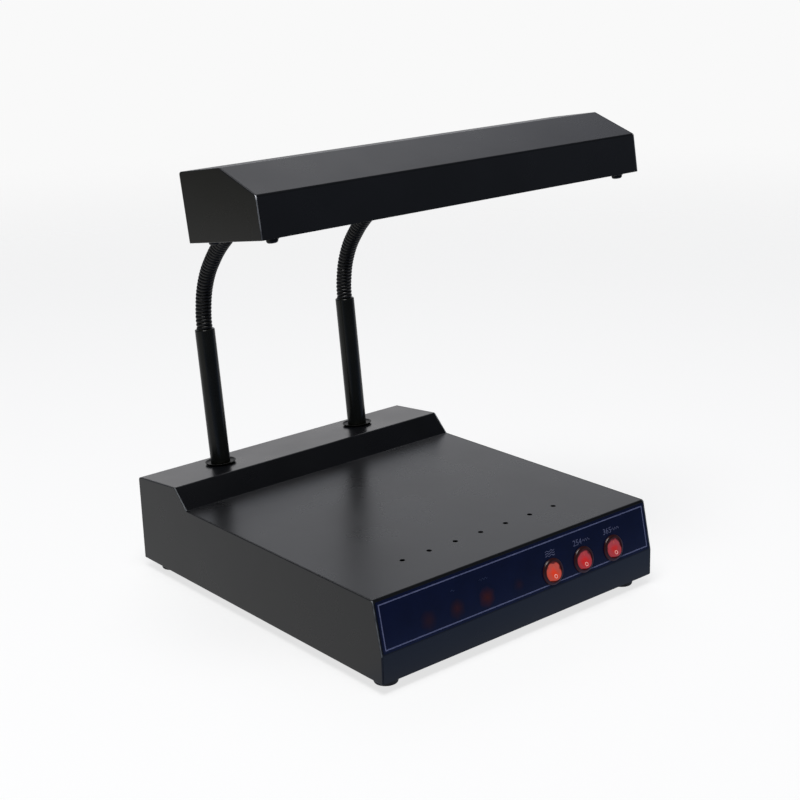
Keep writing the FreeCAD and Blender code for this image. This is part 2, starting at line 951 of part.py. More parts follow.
def tube_caps():
    caps = []
    for y in tube_y:
        for side in (-1, 1):
            start = V(side * (tube_half - cap_length), y, tube_height)
            end = V(side * tube_half, y, tube_height)
            caps.append(placed(prism(round_sides, tube_radius, start, end), head_frame))
    return group(caps)


def tube_pins():
    pins = []
    for y in tube_y:
        for side in (-1, 1):
            for row in (-1, 1):
                z = tube_height + row * pin_spacing / 2
                start = V(side * tube_half, y, z)
                pin = prism(small_sides, pin_radius, start, start + V(side * pin_length, 0, 0))
                pins.append(placed(pin, head_frame))
    return group(pins)


def tube_holders():
    """Push-in holders, slotted from below for the pins."""
    inner = tube_half + holder_clearance
    outer = holder_outer
    top = tube_height + holder_roof
    solids = []
    for y in tube_y:
        for side in (-1, 1):
            x0, x1 = sorted((side * inner, side * outer))
            low = frame_top + 2 * sheet
            body = block(x0, x1, y - holder_width / 2, y + holder_width / 2, low, top)
            slot_end = side * (inner + pin_length + holder_clearance)
            s0, s1 = sorted((side * inner, slot_end))
            slot_top = tube_height + pin_spacing / 2 + pin_radius + holder_clearance
            slot = block(s0, s1, y - holder_slot / 2, y + holder_slot / 2, low, slot_top)
            solids.append(placed(body.cut(slot), head_frame))
    return group(solids)


def holder_brackets():
    """Angle brackets that stand on the bottom frame and carry the holders."""
    inner = holder_outer
    outer = inner + bracket_thickness
    middle = -head_depth / 2
    half = bracket_width / 2
    solids = []
    for side in (-1, 1):
        x0, x1 = sorted((side * inner, side * outer))
        wall = block(x0, x1, middle - half, middle + half, frame_top + sheet, tube_height)
        x0, x1 = sorted((side * (inner - bracket_foot), side * outer))
        foot = block(
            x0, x1, middle - half, middle + half,
            frame_top + sheet, frame_top + sheet + bracket_thickness,
        )
        solids.append(placed(wall.fuse(foot).removeSplitter(), head_frame))
    return group(solids)


# Mains inlet


def inlet_shape(width, height, corner, y0, y1):
    """A block with two upper corners cut off, as on such inlets."""
    z = floor_z + inlet_height
    x = inlet_x
    corners = [
        V(x - width / 2, y0, z - height / 2),
        V(x + width / 2, y0, z - height / 2),
        V(x + width / 2, y0, z + height / 2 - corner),
        V(x + width / 2 - corner, y0, z + height / 2),
        V(x - width / 2 + corner, y0, z + height / 2),
        V(x - width / 2, y0, z + height / 2 - corner),
    ]
    return Part.Face(Part.makePolygon(corners + corners[:1])).extrude(V(0, y1 - y0, 0))


def inlet_screw_places():
    z = floor_z + inlet_height
    y = back_y + inlet_flange_thickness
    return [V(inlet_x + side * inlet_screw_spacing / 2, y, z) for side in (-1, 1)]


def power_inlet():
    """The inlet's flange and body, hollow where the plug enters."""
    front = back_y + inlet_flange_thickness
    flange = inlet_shape(inlet_flange_width, inlet_flange_height, inlet_corner, back_y, front)
    body = inlet_shape(
        inlet_body_width, inlet_body_height, inlet_corner, back_y - inlet_body_depth, front
    )
    socket = inlet_shape(
        inlet_socket_width, inlet_socket_height, inlet_corner, front - inlet_socket_depth, front
    )
    radius = inlet_screw_radius + screw_clearance
    reach = V(0, 2 * inlet_flange_thickness, 0)
    holes = [bore(small_sides, radius, p - reach, p + reach) for p in inlet_screw_places()]
    holes += [inlet_pin(x, z, inlet_pin_clearance) for x, z in inlet_pin_places()]
    return flange.fuse(body).removeSplitter().cut([socket] + holes)


def inlet_pin_places():
    z = floor_z + inlet_height
    line_z = z - inlet_line_drop
    return [
        (inlet_x - inlet_pin_spread / 2, line_z),
        (inlet_x + inlet_pin_spread / 2, line_z),
        (inlet_x, z + inlet_earth_rise),
    ]


def inlet_pin(x, z, grow):
    """One flat pin, with its solder tail behind the body."""
    root = back_y + inlet_flange_thickness - inlet_socket_depth
    width = inlet_pin_width / 2 + grow
    height = inlet_pin_height / 2 + grow
    tail = back_y - inlet_body_depth - inlet_tail
    return block(x - width, x + width, tail, root + inlet_pin_length, z - height, z + height)


def inlet_pins():
    return group([inlet_pin(x, z, 0) for x, z in inlet_pin_places()])


def inlet_screws():
    sizes = (inlet_screw_head_radius, inlet_screw_head_height, inlet_screw_radius, inlet_screw_end)
    return group([screw(*sizes, place, V(0, -1, 0)) for place in inlet_screw_places()])


# Air duct, heater and fan


def air_duct():
    """A box under the air holes, open at its top and round at the fan."""
    half = duct_length / 2
    y0 = front_y + duct_setback
    y1 = y0 + duct_depth
    top = surface_z - sheet
    low = top - duct_height
    duct = block(-half, half, y0, y1, low, top)
    duct = duct.cut(block(
        -half + duct_sheet, half - duct_sheet,
        y0 + duct_sheet, y1 - duct_sheet,
        low + duct_sheet, top,
    ))
    mouth = V(0, y1, fan_z)
    return duct.cut(bore(medium_sides, fan_bore_radius, mouth - AXIS_Y * 2 * duct_sheet, mouth))


def heater_frame():
    """A square frame on the duct's wall, ahead of the fan."""
    y1 = fan_y - duct_sheet
    y0 = y1 - heater_frame_depth
    half = fan_size / 2
    inner = half - heater_frame_wall
    frame = block(-half, half, y0, y1, fan_z - half, fan_z + half)
    return frame.cut(block(-inner, inner, y0, y1, fan_z - inner, fan_z + inner))


def heater_coils():
    """Heating spirals across the frame, drawn as plain rods."""
    inner = fan_size / 2 - heater_frame_wall
    y = fan_y - duct_sheet - heater_frame_depth / 2
    pitch = 2 * inner / heater_coil_count
    rods = []
    for i in range(heater_coil_count):
        z = fan_z - inner + (i + 0.5) * pitch
        rods.append(prism(small_sides, heater_coil_radius, V(-inner, y, z), V(inner, y, z)))
    return group(rods)


def fan_frame():
    """The fan's square frame, with the motor's seat on four struts."""
    half = fan_size / 2
    back = fan_y + fan_depth
    frame = block(-half, half, fan_y, back, fan_z - half, fan_z + half)
    frame = frame.cut(bore(round_sides, fan_bore_radius, V(0, fan_y, fan_z), V(0, back, fan_z)))
    y0 = back - fan_motor_depth
    frame = frame.fuse(prism(medium_sides, fan_hub_radius, V(0, y0, fan_z), V(0, back, fan_z)))
    half = fan_strut_width / 2
    reach = fan_bore_radius + fan_strut_width / 2
    for turn in (45, 135):
        bar = block(-reach, reach, y0, back, fan_z - half, fan_z + half)
        bar.rotate(V(0, 0, fan_z), AXIS_Y, turn)
        frame = frame.fuse(bar)
    bearing = fan_shaft_radius + fan_bearing_clearance
    return frame.removeSplitter().cut(rod(bearing, V(0, y0, fan_z), V(0, back, fan_z)))


def fan_impeller():
    """The hub with its shaft and pitched blades."""
    back = fan_y + fan_depth
    y1 = back - fan_motor_depth - fan_face_gap
    y0 = y1 - fan_hub_depth
    impeller = prism(medium_sides, fan_hub_radius, V(0, y0, fan_z), V(0, y1, fan_z))
    impeller = impeller.fuse(rod(fan_shaft_radius, V(0, y0, fan_z), V(0, back, fan_z)))
    reach = fan_blade_chord / 2
    half = fan_blade_thickness / 2
    for i in range(fan_blades):
        root = fan_hub_radius - fan_blade_thickness
        blade = block(-half, half, -reach, reach, root, fan_blade_radius)
        blade.rotate(V(0, 0, 0), AXIS_Z, fan_blade_pitch)
        blade.rotate(V(0, 0, 0), AXIS_Y, 360 / fan_blades * i)
        blade.translate(V(0, (y0 + y1) / 2, fan_z))
        impeller = impeller.fuse(blade)
    return impeller.removeSplitter()


# Ballasts and terminal block


def ballast_place(side):
    return V(side * ballast_spread, back_y - ballast_inset, floor_z + sheet + ballast_spacer)


def ballast_ear_places(side):
    """The two fixing holes of a ballast, ahead of and behind its case."""
    reach = ballast_length / 2 + ballast_ear / 2
    return [ballast_place(side) + V(0, end * reach, 0) for end in (-1, 1)]


def ballast(side):
    """A potted ballast case with a fixing ear at each end."""
    place = ballast_place(side)
    half = ballast_length / 2
    case = block(-ballast_width / 2, ballast_width / 2, -half, half, 0, ballast_height)
    ears = block(
        -ballast_ear, ballast_ear, -half - ballast_ear, half + ballast_ear,
        0, ballast_ear_thickness,
    )
    case = case.fuse(ears).removeSplitter()
    case.translate(place)
    radius = ballast_screw_radius + screw_clearance
    top = V(0, 0, ballast_ear_thickness)
    holes = [bore(small_sides, radius, p, p + top) for p in ballast_ear_places(side)]
    return case.cut(holes)


def ballast_spacers():
    places = ballast_ear_places(-1) + ballast_ear_places(1)
    low = V(0, 0, -ballast_spacer)
    return group([prism(small_sides, ballast_spacer_radius, p + low, p) for p in places])


def ballast_screws():
    """Screws through the ears, ending on the spacers."""
    places = ballast_ear_places(-1) + ballast_ear_places(1)
    sizes = (ballast_screw_head_radius, ballast_screw_head_height, ballast_screw_radius)
    top = V(0, 0, ballast_ear_thickness)
    return group([screw(*sizes, ballast_ear_thickness, p + top, V(0, 0, -1)) for p in places])


def terminal_block():
    """A row of terminals with raised ribs between the poles."""
    half = terminal_block_poles * terminal_pole_width / 2
    y0 = back_y - terminal_block_inset
    y1 = y0 + terminal_block_depth
    low = floor_z + sheet
    body = block(-half, half, y0, y1, low, low + terminal_block_height)
    step = terminal_step
    reach = (terminal_pole_width - terminal_rib) / 2
    cuts = []
    for i in range(terminal_block_poles):
        x = -half + (i + 0.5) * terminal_pole_width
        for a, b in ((y0, y0 + step), (y1 - step, y1)):
            cuts.append(block(x - reach, x + reach, a, b, low + step, low + terminal_block_height))
    return body.cut(cuts)


# All sub-parts


def all_nodes():
    nodes = {
        "base_shell": base_shell(),
        "side_plate_left": side_plate(-1),
        "side_plate_right": side_plate(1),
        "bottom_plate": bottom_plate(),
        "rubber_feet": rubber_feet(),
        "foot_screws": foot_screws(),
        "foot_nuts": foot_nuts(),
        "base_screws": base_screws(),
        "front_label": front_label(),
        "switch_housings": group([switch_housing(x) for x in switch_x]),
        "switch_terminals": switch_terminals(),
        "post_left": post(post_x[0]),
        "post_right": post(post_x[1]),
        "post_rings": post_rings(),
        "post_nuts": post_nuts(),
        "neck_roots": neck_roots(),
        "neck_tips": neck_tips(),
        "neck_collars": neck_collars(),
        "collar_nuts": collar_nuts(),
        "head_shell": head_shell(),
        "head_end_left": head_end(-1),
        "head_end_right": head_end(1),
        "head_screws": head_screws(),
        "filter_frame": filter_frame(),
        "filter_gasket": filter_gasket(),
        "filter_glass": filter_glass(),
        "filter_retainer": filter_retainer(),
        "reflector": reflector(),
        "tube_short_wave": tube_glass(tube_y[0]),
        "tube_long_wave": tube_glass(tube_y[1]),
        "tube_caps": tube_caps(),
        "tube_pins": tube_pins(),
        "tube_holders": tube_holders(),
        "holder_brackets": holder_brackets(),
        "power_inlet": power_inlet(),
        "inlet_pins": inlet_pins(),
        "inlet_screws": inlet_screws(),
        "air_duct": air_duct(),
        "heater_frame": heater_frame(),
        "heater_coils": heater_coils(),
        "fan_frame": fan_frame(),
        "fan_impeller": fan_impeller(),
        "ballast_short_wave": ballast(-1),
        "ballast_long_wave": ballast(1),
        "ballast_spacers": ballast_spacers(),
        "ballast_screws": ballast_screws(),
        "terminal_block": terminal_block(),
    }
    for i, x in enumerate(switch_x):
        nodes[f"rocker_{i + 1}"] = rocker(x)
    for k in range(neck_links):
        nodes[f"neck_link_{k + 1}"] = neck_link(k)
    return nodes


os.makedirs("parts", exist_ok=True)
for name, shape in all_nodes().items():
    shape.exportStep(f"parts/{name}.step")
    if not shape.isValid():
        print(name, "is not a valid shape")
print("neck arcs", [round(r, 1) for r in neck_radii], "length", round(neck_length, 1))
for k in range(neck_links + 1):
    point, lean = neck_place(joint_distance(k))
    print("bend", k + 1, round(point.y, 3), round(point.z, 3), round(degrees(lean), 2))
for x in switch_x:
    pivot = panel_frame.multVec(rocker_pivot(x))
    print("rocker pivot", round(pivot.x, 3), round(pivot.y, 3), round(pivot.z, 3))
print("fan axis", round(fan_z, 3))
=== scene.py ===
# %% [markdown]
# # A portable ultraviolet lamp
#
# The lamp is a low steel box that a plate or a sheet of paper is laid on, with a long
# lamp head held over it by two goosenecks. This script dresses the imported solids: it
# keeps the ones that are right as they are, models the ones whose edges and curves
# need more care, and gives each a finish. Blender counts in metres, so every length
# is written in millimetres times mm.

# %% Load the frame
import json
from contextlib import contextmanager
from math import cos, degrees, pi, radians, sin, tan

import bmesh
import bpy
from mathutils import Matrix, Vector


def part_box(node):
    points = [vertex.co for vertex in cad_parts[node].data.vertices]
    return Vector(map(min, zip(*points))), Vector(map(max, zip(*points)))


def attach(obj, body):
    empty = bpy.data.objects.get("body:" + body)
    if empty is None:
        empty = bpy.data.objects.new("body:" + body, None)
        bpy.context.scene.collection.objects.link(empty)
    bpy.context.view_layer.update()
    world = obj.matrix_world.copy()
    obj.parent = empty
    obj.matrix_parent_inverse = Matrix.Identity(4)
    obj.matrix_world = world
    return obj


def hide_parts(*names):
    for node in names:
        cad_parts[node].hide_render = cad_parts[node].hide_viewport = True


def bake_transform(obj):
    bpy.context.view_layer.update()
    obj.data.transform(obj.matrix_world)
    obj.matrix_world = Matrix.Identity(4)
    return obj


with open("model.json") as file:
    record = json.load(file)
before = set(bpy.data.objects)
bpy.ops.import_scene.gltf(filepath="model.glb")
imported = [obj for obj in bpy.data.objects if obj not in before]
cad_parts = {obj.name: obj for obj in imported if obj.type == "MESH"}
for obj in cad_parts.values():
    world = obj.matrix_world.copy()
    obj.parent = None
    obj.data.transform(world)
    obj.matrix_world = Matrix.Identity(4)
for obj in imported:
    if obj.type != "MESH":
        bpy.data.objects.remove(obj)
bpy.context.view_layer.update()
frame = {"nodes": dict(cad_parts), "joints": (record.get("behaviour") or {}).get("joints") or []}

mm = 0.001

# %% [markdown]
# ## The camera
#
# The camera's place was found by fitting the corners of the solids to the same corners
# in the photograph. It stands to the left of the lamp's front, a little over a metre
# away, and looks down. Its roll is small, but without it the head looks tipped.

# %% The camera
camera_place = Vector((-728.9, -902.1, 508.6)) * mm
camera_heading = radians(39.47)
camera_fall = radians(17.37)
camera_roll = radians(-1.76)
focal_length, sensor_width = 70.8, 36  # Blender counts these two in millimetres

bpy.ops.object.camera_add(location=camera_place)
camera = bpy.context.object
camera.name = "camera"
aim = Matrix.Rotation(-camera_heading, 4, "Z") @ Matrix.Rotation(pi / 2 - camera_fall, 4, "X")
level_camera = Matrix.Translation(camera_place) @ aim
camera.matrix_world = level_camera @ Matrix.Rotation(camera_roll, 4, "Z")
camera.data.lens = focal_length
camera.data.sensor_width = sensor_width
camera.data.clip_end = 200
bpy.context.scene.camera = camera
bpy.context.scene.view_settings.view_transform = "Standard"
print("camera stands", round(camera_place.length, 2), "m from the origin")

# %% [markdown]
# ## Selecting and editing
#
# An operator acts on all that is selected, so modelling by script goes wrong most often
# when something else still is. One helper selects a single object, and another opens
# edit mode and closes it again. Faces and edges are picked in code, by where they are
# or which way they face, as a hand would click on them.


# %% Selecting and editing
def only(piece):
    """Selects one object and nothing else."""
    bpy.ops.object.select_all(action="DESELECT")
    piece.select_set(True)
    bpy.context.view_layer.objects.active = piece


@contextmanager
def editing(piece):
    """Edit mode on one object, all of it selected."""
    only(piece)
    bpy.ops.object.mode_set(mode="EDIT")
    bpy.ops.mesh.select_mode(type="VERT")
    bpy.ops.mesh.select_all(action="SELECT")
    yield
    bpy.ops.object.mode_set(mode="OBJECT")


def middle_of(edge):
    """The middle of an edge."""
    return (edge.verts[0].co + edge.verts[1].co) / 2


def pick_edges(piece, test):
    """In edit mode, selects the edges that pass the test."""
    bpy.ops.mesh.select_mode(type="EDGE")
    bpy.ops.mesh.select_all(action="DESELECT")
    mesh = bmesh.from_edit_mesh(piece.data)
    for edge in mesh.edges:
        if test(edge):
            edge.select_set(True)
    bmesh.update_edit_mesh(piece.data)


def is_open(edge):
    """Whether an edge has a face on one side only."""
    return len(edge.link_faces) == 1


# %% [markdown]
# ## Modifiers, places and copies
#
# A modifier is applied as soon as it is added, so a finished piece is a plain mesh. The export
# sets every object at the origin before it reads the mesh, and there a piece that is only placed
# as an object would slide. Each piece's place is written into its mesh, and a shape that repeats
# is modelled once, at the origin, and copied.


# %% Modifiers, places and copies
def modify(piece, kind, **settings):
    """Adds a modifier with these settings and applies it."""
    only(piece)
    bpy.ops.object.modifier_add(type=kind)
    modifier = piece.modifiers[-1]
    for name, value in settings.items():
        setattr(modifier, name, value)
    bpy.ops.object.modifier_apply(modifier=modifier.name)


def eased(piece, width, angle=50, segments=2):
    """Rounds off the edges that turn by more than an angle, as tumbling or handling does."""
    limit = {"limit_method": "ANGLE", "angle_limit": radians(angle)}
    modify(piece, "BEVEL", width=width, segments=segments, **limit)


def put(piece, place):
    """Moves a piece from its own frame to another, and leaves its object at the origin."""
    piece.matrix_basis = place @ piece.matrix_basis
    only(piece)
    bpy.ops.object.transform_apply(location=True, rotation=True, scale=True)
    return piece


def at(x, y, z):
    """The frame whose origin is at this point, with no turn."""
    return Matrix.Translation((x, y, z))


def about_x(angle):
    """A turn about the X axis."""
    return Matrix.Rotation(angle, 4, "X")


def copied(piece, place):
    """A copy with its own mesh, put somewhere else."""
    twin = piece.copy()
    twin.data = piece.data.copy()
    bpy.context.collection.objects.link(twin)
    return put(twin, place)


def discard(*patterns):
    """Removes the pieces that copies were made from."""
    for pattern in patterns:
        bpy.data.objects.remove(pattern)


kinds = bpy.types.Modifier.bl_rna.properties["type"].enum_items
print("kinds of modifier in this Blender:", len(kinds))

# %% [markdown]
# ## Finishing a piece
#
# Every piece ends the same way: a name, its finishes, normals that point outwards, smooth
# shading up to an angle, the body that it rides on and the solids that it stands for. Weighted
# normals keep a large flat face flat to the eye, right up to the rounded fold beside it.

# %% Finishing a piece
smooth_up_to = radians(35)


def finished(piece, name, body, finishes, *nodes):
    """Names a piece, gives it its finishes and lets it ride with a body, for these nodes."""
    piece.name = name
    piece.data.name = name
    if not piece.data.materials:
        for coat in finishes:
            piece.data.materials.append(coat)
    with editing(piece):
        bpy.ops.mesh.normals_make_consistent(inside=False)
    only(piece)
    bpy.ops.object.shade_smooth_by_angle(angle=smooth_up_to)
    modify(piece, "WEIGHTED_NORMAL", mode="FACE_AREA", weight=80, keep_sharp=True)
    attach(piece, body)
    if nodes:
        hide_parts(*nodes)


# %% [markdown]
# ## Colours and shader nodes
#
# A colour picked from a photograph is an sRGB value, while a shader works with linear
# light, so one function turns the one into the other. Another adds a node, sets it and
# joins it up, which keeps each finish to a few readable lines.


# %% Colours and nodes
def colour(code):
    """An sRGB hex value as linear red, green and blue, with full alpha."""
    parts = [int(code[i : i + 2], 16) / 255 for i in (1, 3, 5)]
    return [c / 12.92 if c <= 0.04045 else ((c + 0.055) / 1.055) ** 2.4 for c in parts] + [1.0]


def add(tree, kind, inputs=None, **settings):
    """Adds a node with these settings. Each of its inputs is joined to a socket, or set."""
    node = tree.nodes.new(kind)
    for name, value in settings.items():
        setattr(node, name, value)
    for name, value in (inputs or {}).items():
        if isinstance(value, bpy.types.NodeSocket):
            tree.links.new(value, node.inputs[name])
        else:
            node.inputs[name].default_value = value
    return node


def finish(name, **sockets):
    """A new material with a principled shader, and these values on its sockets."""
    material = bpy.data.materials.new(name)
    material.use_nodes = True
    shader = material.node_tree.nodes["Principled BSDF"]
    for socket, value in sockets.items():
        shader.inputs[socket.replace("_", " ")].default_value = value
    return material, material.node_tree, shader


def set_stops(ramp, *stops):
    """Gives a colour ramp its stops in rising order, each a place and a linear colour."""
    elements = ramp.color_ramp.elements
    for element, (place, shade) in ((elements[0], stops[0]), (elements[1], stops[-1])):
        element.position = place
        element.color = shade
    for place, shade in stops[1:-1]:
        elements.new(place).color = shade


print("mid grey #808080 is", round(colour("#808080")[0], 3), "in linear light")

# %% [markdown]
# ## Patterns in real millimetres
#
# No paint or moulding is the same all over. Three helpers let the colour, the gloss and
# the height of a surface wander. Each reads noise at the point's own place on the
# object, so there are no seams, and the size of its patches is given in millimetres.
# The middle of the noise, from 0.3 to 0.7, is stretched to the two values asked for.

# %% Wandering colour, relief and gloss
noise_low, noise_high = 0.3, 0.7


def speckled(tree, shader, low, high, grain):
    """Base colour that wanders between two colours over patches of a size in millimetres."""
    place = add(tree, "ShaderNodeTexCoord").outputs["Object"]
    spread = {"Vector": place, "Scale": 1 / (grain * mm), "Detail": 3.0}
    noise = add(tree, "ShaderNodeTexNoise", spread)
    ramp = add(tree, "ShaderNodeValToRGB", {"Fac": noise.outputs["Fac"]})
    set_stops(ramp, (noise_low, colour(low)), (noise_high, colour(high)))
    tree.links.new(ramp.outputs["Color"], shader.inputs["Base Color"])


def bumpy(tree, shader, grain, height):
    """A fine relief with a grain and a height in millimetres."""
    place = add(tree, "ShaderNodeTexCoord").outputs["Object"]
    spread = {"Vector": place, "Scale": 1 / (grain * mm), "Detail": 2.0}
    noise = add(tree, "ShaderNodeTexNoise", spread)
    relief = {"Height": noise.outputs["Fac"], "Distance": height * mm, "Strength": 1.0}
    bump = add(tree, "ShaderNodeBump", relief)
    tree.links.new(bump.outputs["Normal"], shader.inputs["Normal"])


def patchy_gloss(tree, shader, low, high, grain):
    """Roughness that wanders between two values over patches of a size in millimetres."""
    place = add(tree, "ShaderNodeTexCoord").outputs["Object"]
    spread = {"Vector": place, "Scale": 1 / (grain * mm), "Detail": 4.0}
    noise = add(tree, "ShaderNodeTexNoise", spread)
    span = {"From Min": noise_low, "From Max": noise_high, "To Min": low, "To Max": high}
    stretch = add(tree, "ShaderNodeMapRange", {"Value": noise.outputs["Fac"], **span})
    tree.links.new(stretch.outputs["Result"], shader.inputs["Roughness"])


print("a 1 mm grain is a noise of scale", 1 / mm)

# %% [markdown]
# ## Black paint on steel
#
# The box and the head are sheet steel with a black powder coat. Powder melts into a
# skin that is smooth to the hand but never flat, so its reflections are soft and a
# little uneven. The posts are bright tube under a wet lacquer, which is glossier. The
# indices of refraction started at 1.5, as for most resins, and were lowered until the
# reflections were as faint as in the photograph.

# %% Black paint on steel
# Powder coat melted on sheet steel: near black, with an orange peel 0.9 mm across and a
# few thousandths high that blurs what it mirrors without hiding it.
powder_coat, tree, shader = finish("black_powder_coat_on_steel", IOR=1.42)
speckled(tree, shader, "#0c0d0f", "#101114", 40)
patchy_gloss(tree, shader, 0.26, 0.31, 55)
bumpy(tree, shader, 0.9, 0.004)

# The same coat along a cut edge, paler, greyer and duller: partly rubbed thin, partly a painted
# highlight on the bevel.
rubbed_coat_and_painted_highlight, tree, shader = finish("rubbed_coat_with_painted_highlight_on_edges", IOR=1.42, Roughness=0.4)
speckled(tree, shader, "#44474a", "#84888c", 5)
bumpy(tree, shader, 0.9, 0.006)

# Lacquer sprayed on drawn tube: a warmer black, with narrow highlights down its length.
post_lacquer, tree, shader = finish("gloss_black_lacquer_on_steel_tube", IOR=1.33)
speckled(tree, shader, "#121310", "#191a16", 25)
patchy_gloss(tree, shader, 0.18, 0.24, 18)
bumpy(tree, shader, 1.2, 0.004)

# Pressed rings with a thin dull coat: they catch almost no light beside the posts.
dull_steel, tree, shader = finish("dull_black_pressed_steel", IOR=1.25, Roughness=0.45)
speckled(tree, shader, "#0d0d0c", "#171715", 4)
bumpy(tree, shader, 0.6, 0.01)
print("finishes:", powder_coat.name, rubbed_coat_and_painted_highlight.name, post_lacquer.name, dull_steel.name)

# %% [markdown]
# ## Printed film and inks
#
# The label is a polyester film, printed dark blue from behind, with a satin face. Its
# border line and signs are a second print in paler inks. Ink on film is matt and even,
# so the inks differ from the film mostly in colour and only a little in gloss.

# %% Printed film and inks
# Film printed from behind: a deep navy under a smooth face that mirrors very little.
label_film, tree, shader = finish("printed_polyester_film_navy", IOR=1.33, Roughness=0.2)
speckled(tree, shader, "#091232", "#0c163a", 18)
bumpy(tree, shader, 0.5, 0.002)

# Screen ink of the border: a matt lavender line that frames the navy.
border_ink, tree, shader = finish("printed_ink_lavender", Roughness=0.4)
speckled(tree, shader, "#636a90", "#757ba2", 4)

# Screen ink of the signs: greyer than the border, as thin strokes look.
legend_ink, tree, shader = finish("printed_ink_grey", Roughness=0.4)
speckled(tree, shader, "#565b7c", "#6e7294", 2)

# Ink worn almost away: a trace that shows only from near by.
faint_ink, tree, shader = finish("printed_ink_worn_faint", Roughness=0.4)
speckled(tree, shader, "#131f42", "#2b3a60", 2)
print("inks:", border_ink.name, legend_ink.name, faint_ink.name)

# %% [markdown]
# ## Plastic lit from inside
#
# A small lamp glows under each rocker. Its light is strongest near the lamp and dies out towards
# the rim, so the emission's colour follows the distance from a point. In the rockers that point
# is set off to the lower left, so the dark rim at the top right is painted shade. A little noise
# moves that distance, which makes the glow uneven, as moulded plastic of uneven thickness does.
# The same map, without emission, makes the unlit windows.

# %% Glows that fade with distance
lens_reach = 7.8 * mm


def glow_map(tree, centre, reach, cloud, *stops):
    """Colours by the distance from a centre, clouded a little. Stops are (share, hex)."""
    place = add(tree, "ShaderNodeTexCoord").outputs["Object"]
    away = add(tree, "ShaderNodeVectorMath", {0: place, 1: centre}, operation="DISTANCE")
    spread = {"Vector": place, "Scale": 1 / (4.0 * mm), "Detail": 0.0}
    noise = add(tree, "ShaderNodeTexNoise", spread)
    span = {"From Min": noise_low, "From Max": noise_high}
    span |= {"To Min": -cloud * reach, "To Max": cloud * reach}
    swing = add(tree, "ShaderNodeMapRange", {"Value": noise.outputs["Fac"], **span})
    both = {0: away.outputs["Value"], 1: swing.outputs["Result"]}
    far = add(tree, "ShaderNodeMath", both, operation="ADD")
    share = add(tree, "ShaderNodeMath", {0: far.outputs[0], 1: reach}, operation="DIVIDE")
    ramp = add(tree, "ShaderNodeValToRGB", {"Fac": share.outputs[0]})
    set_stops(ramp, *((spot, colour(code)) for spot, code in stops))
    return ramp.outputs["Color"]


def lit_lens(name, centre, core, body, rim):
    """Red polycarbonate moulded clear over a lamp: its own light hides most reflections."""
    material, tree, shader = finish(name, Roughness=0.25, IOR=1.5, Emission_Strength=1.0)
    speckled(tree, shader, "#220808", "#3a0e0d", 3)
    stops = ((0.0, core), (0.3, core), (0.62, body), (0.85, body), (1.0, rim))
    glow = glow_map(tree, centre, lens_reach, 0.1, *stops)
    tree.links.new(glow, shader.inputs["Emission Color"])
    return material


def dim_window(name, centre, reach, core, body):
    """Film left clear over a lamp that is off: a dull red that fades into the navy."""
    material, tree, shader = finish(name, Roughness=0.22, IOR=1.33)
    stops = ((0.1, core), (0.55, body), (0.97, "#0a1334"))
    tree.links.new(glow_map(tree, centre, reach, 0.06, *stops), shader.inputs["Base Color"])
    return material


print("a lens glows for", round(lens_reach / mm, 1), "mm round its lamp")

# %% [markdown]
# ## Print and bezel in the red light
#
# What lies on or round a lit lens takes up some of its light. It would be slow to let
# Blender find that small glow by itself, so the print and the bezel get a weak emission
# of their own, in the red that reaches them.

# %% Print and bezel in the red light
# Pale print on the lit rocker: the red light through it turns it pink.
white_mark, tree, shader = finish("pink_lit_mark_on_rocker", Roughness=0.35)
shader.inputs["Emission Color"].default_value = colour("#d98880")
shader.inputs["Emission Strength"].default_value = 0.45
speckled(tree, shader, "#c98f88", "#e6b3ab", 1)

# The same print on the pressed-in upper half: nearly the red of the rocker itself, which is
# painted shade there.
on_mark_in_painted_shade, tree, shader = finish("on_mark_darkened_by_painted_shade", Roughness=0.35)
shader.inputs["Emission Color"].default_value = colour("#b8503f")
shader.inputs["Emission Strength"].default_value = 0.5
speckled(tree, shader, "#a53c30", "#b8503f", 1)

# Black polyamide round the lamp: a dark glossy ring, whose red tint and weak red emission are a
# painted glow of the light its lens throws on it.
bezel_with_painted_glow, tree, shader = finish("black_polyamide_with_painted_lens_glow", Roughness=0.28, IOR=1.42)
shader.inputs["Emission Color"].default_value = colour("#420f0d")
shader.inputs["Emission Strength"].default_value = 0.25
speckled(tree, shader, "#0f0b0c", "#1a0f10", 3)
print("lit finishes:", white_mark.name, on_mark_in_painted_shade.name, bezel_with_painted_glow.name)

# %% [markdown]
# ## Neck wire, rubber and screws
#
# These are the dark fittings. The necks are wound from steel wire with a black oxide
# skin, which is thin enough for the metal to show through, so they are partly metallic.
# Rubber is the dullest thing on the lamp, and its grain is drawn at 0.4 mm, coarser
# than the real one, so that it shows close up.

# %% Neck wire, rubber and screws
# Black oxide on wound wire: each rib carries a soft grey glint along its crown.
neck_wire, tree, shader = finish("black_oxide_on_wound_steel_wire", Metallic=0.35)
speckled(tree, shader, "#0d0d0d", "#1c1b19", 3)
patchy_gloss(tree, shader, 0.3, 0.45, 8)

# Moulded rubber: deep black with no highlight, even where the light grazes it.
rubber, tree, shader = finish("moulded_black_rubber", Roughness=0.75)
speckled(tree, shader, "#0f0f0f", "#181817", 3)
bumpy(tree, shader, 0.4, 0.02)

# Black oxide on turned steel: darker than bare steel, with small sharp glints.
black_screw, tree, shader = finish("black_oxide_screw_steel", Metallic=0.6)
speckled(tree, shader, "#121212", "#1f1f20", 2)
patchy_gloss(tree, shader, 0.35, 0.5, 3)
print("dark fittings:", neck_wire.name, rubber.name, black_screw.name)

# %% [markdown]
# ## Bare metals
#
# Bare metals keep the default index, and their colour is what they mirror. The patches
# of their gloss are as large as the marks of how each was made: a few millimetres for
# plating and drawing, and more for rolled sheet.

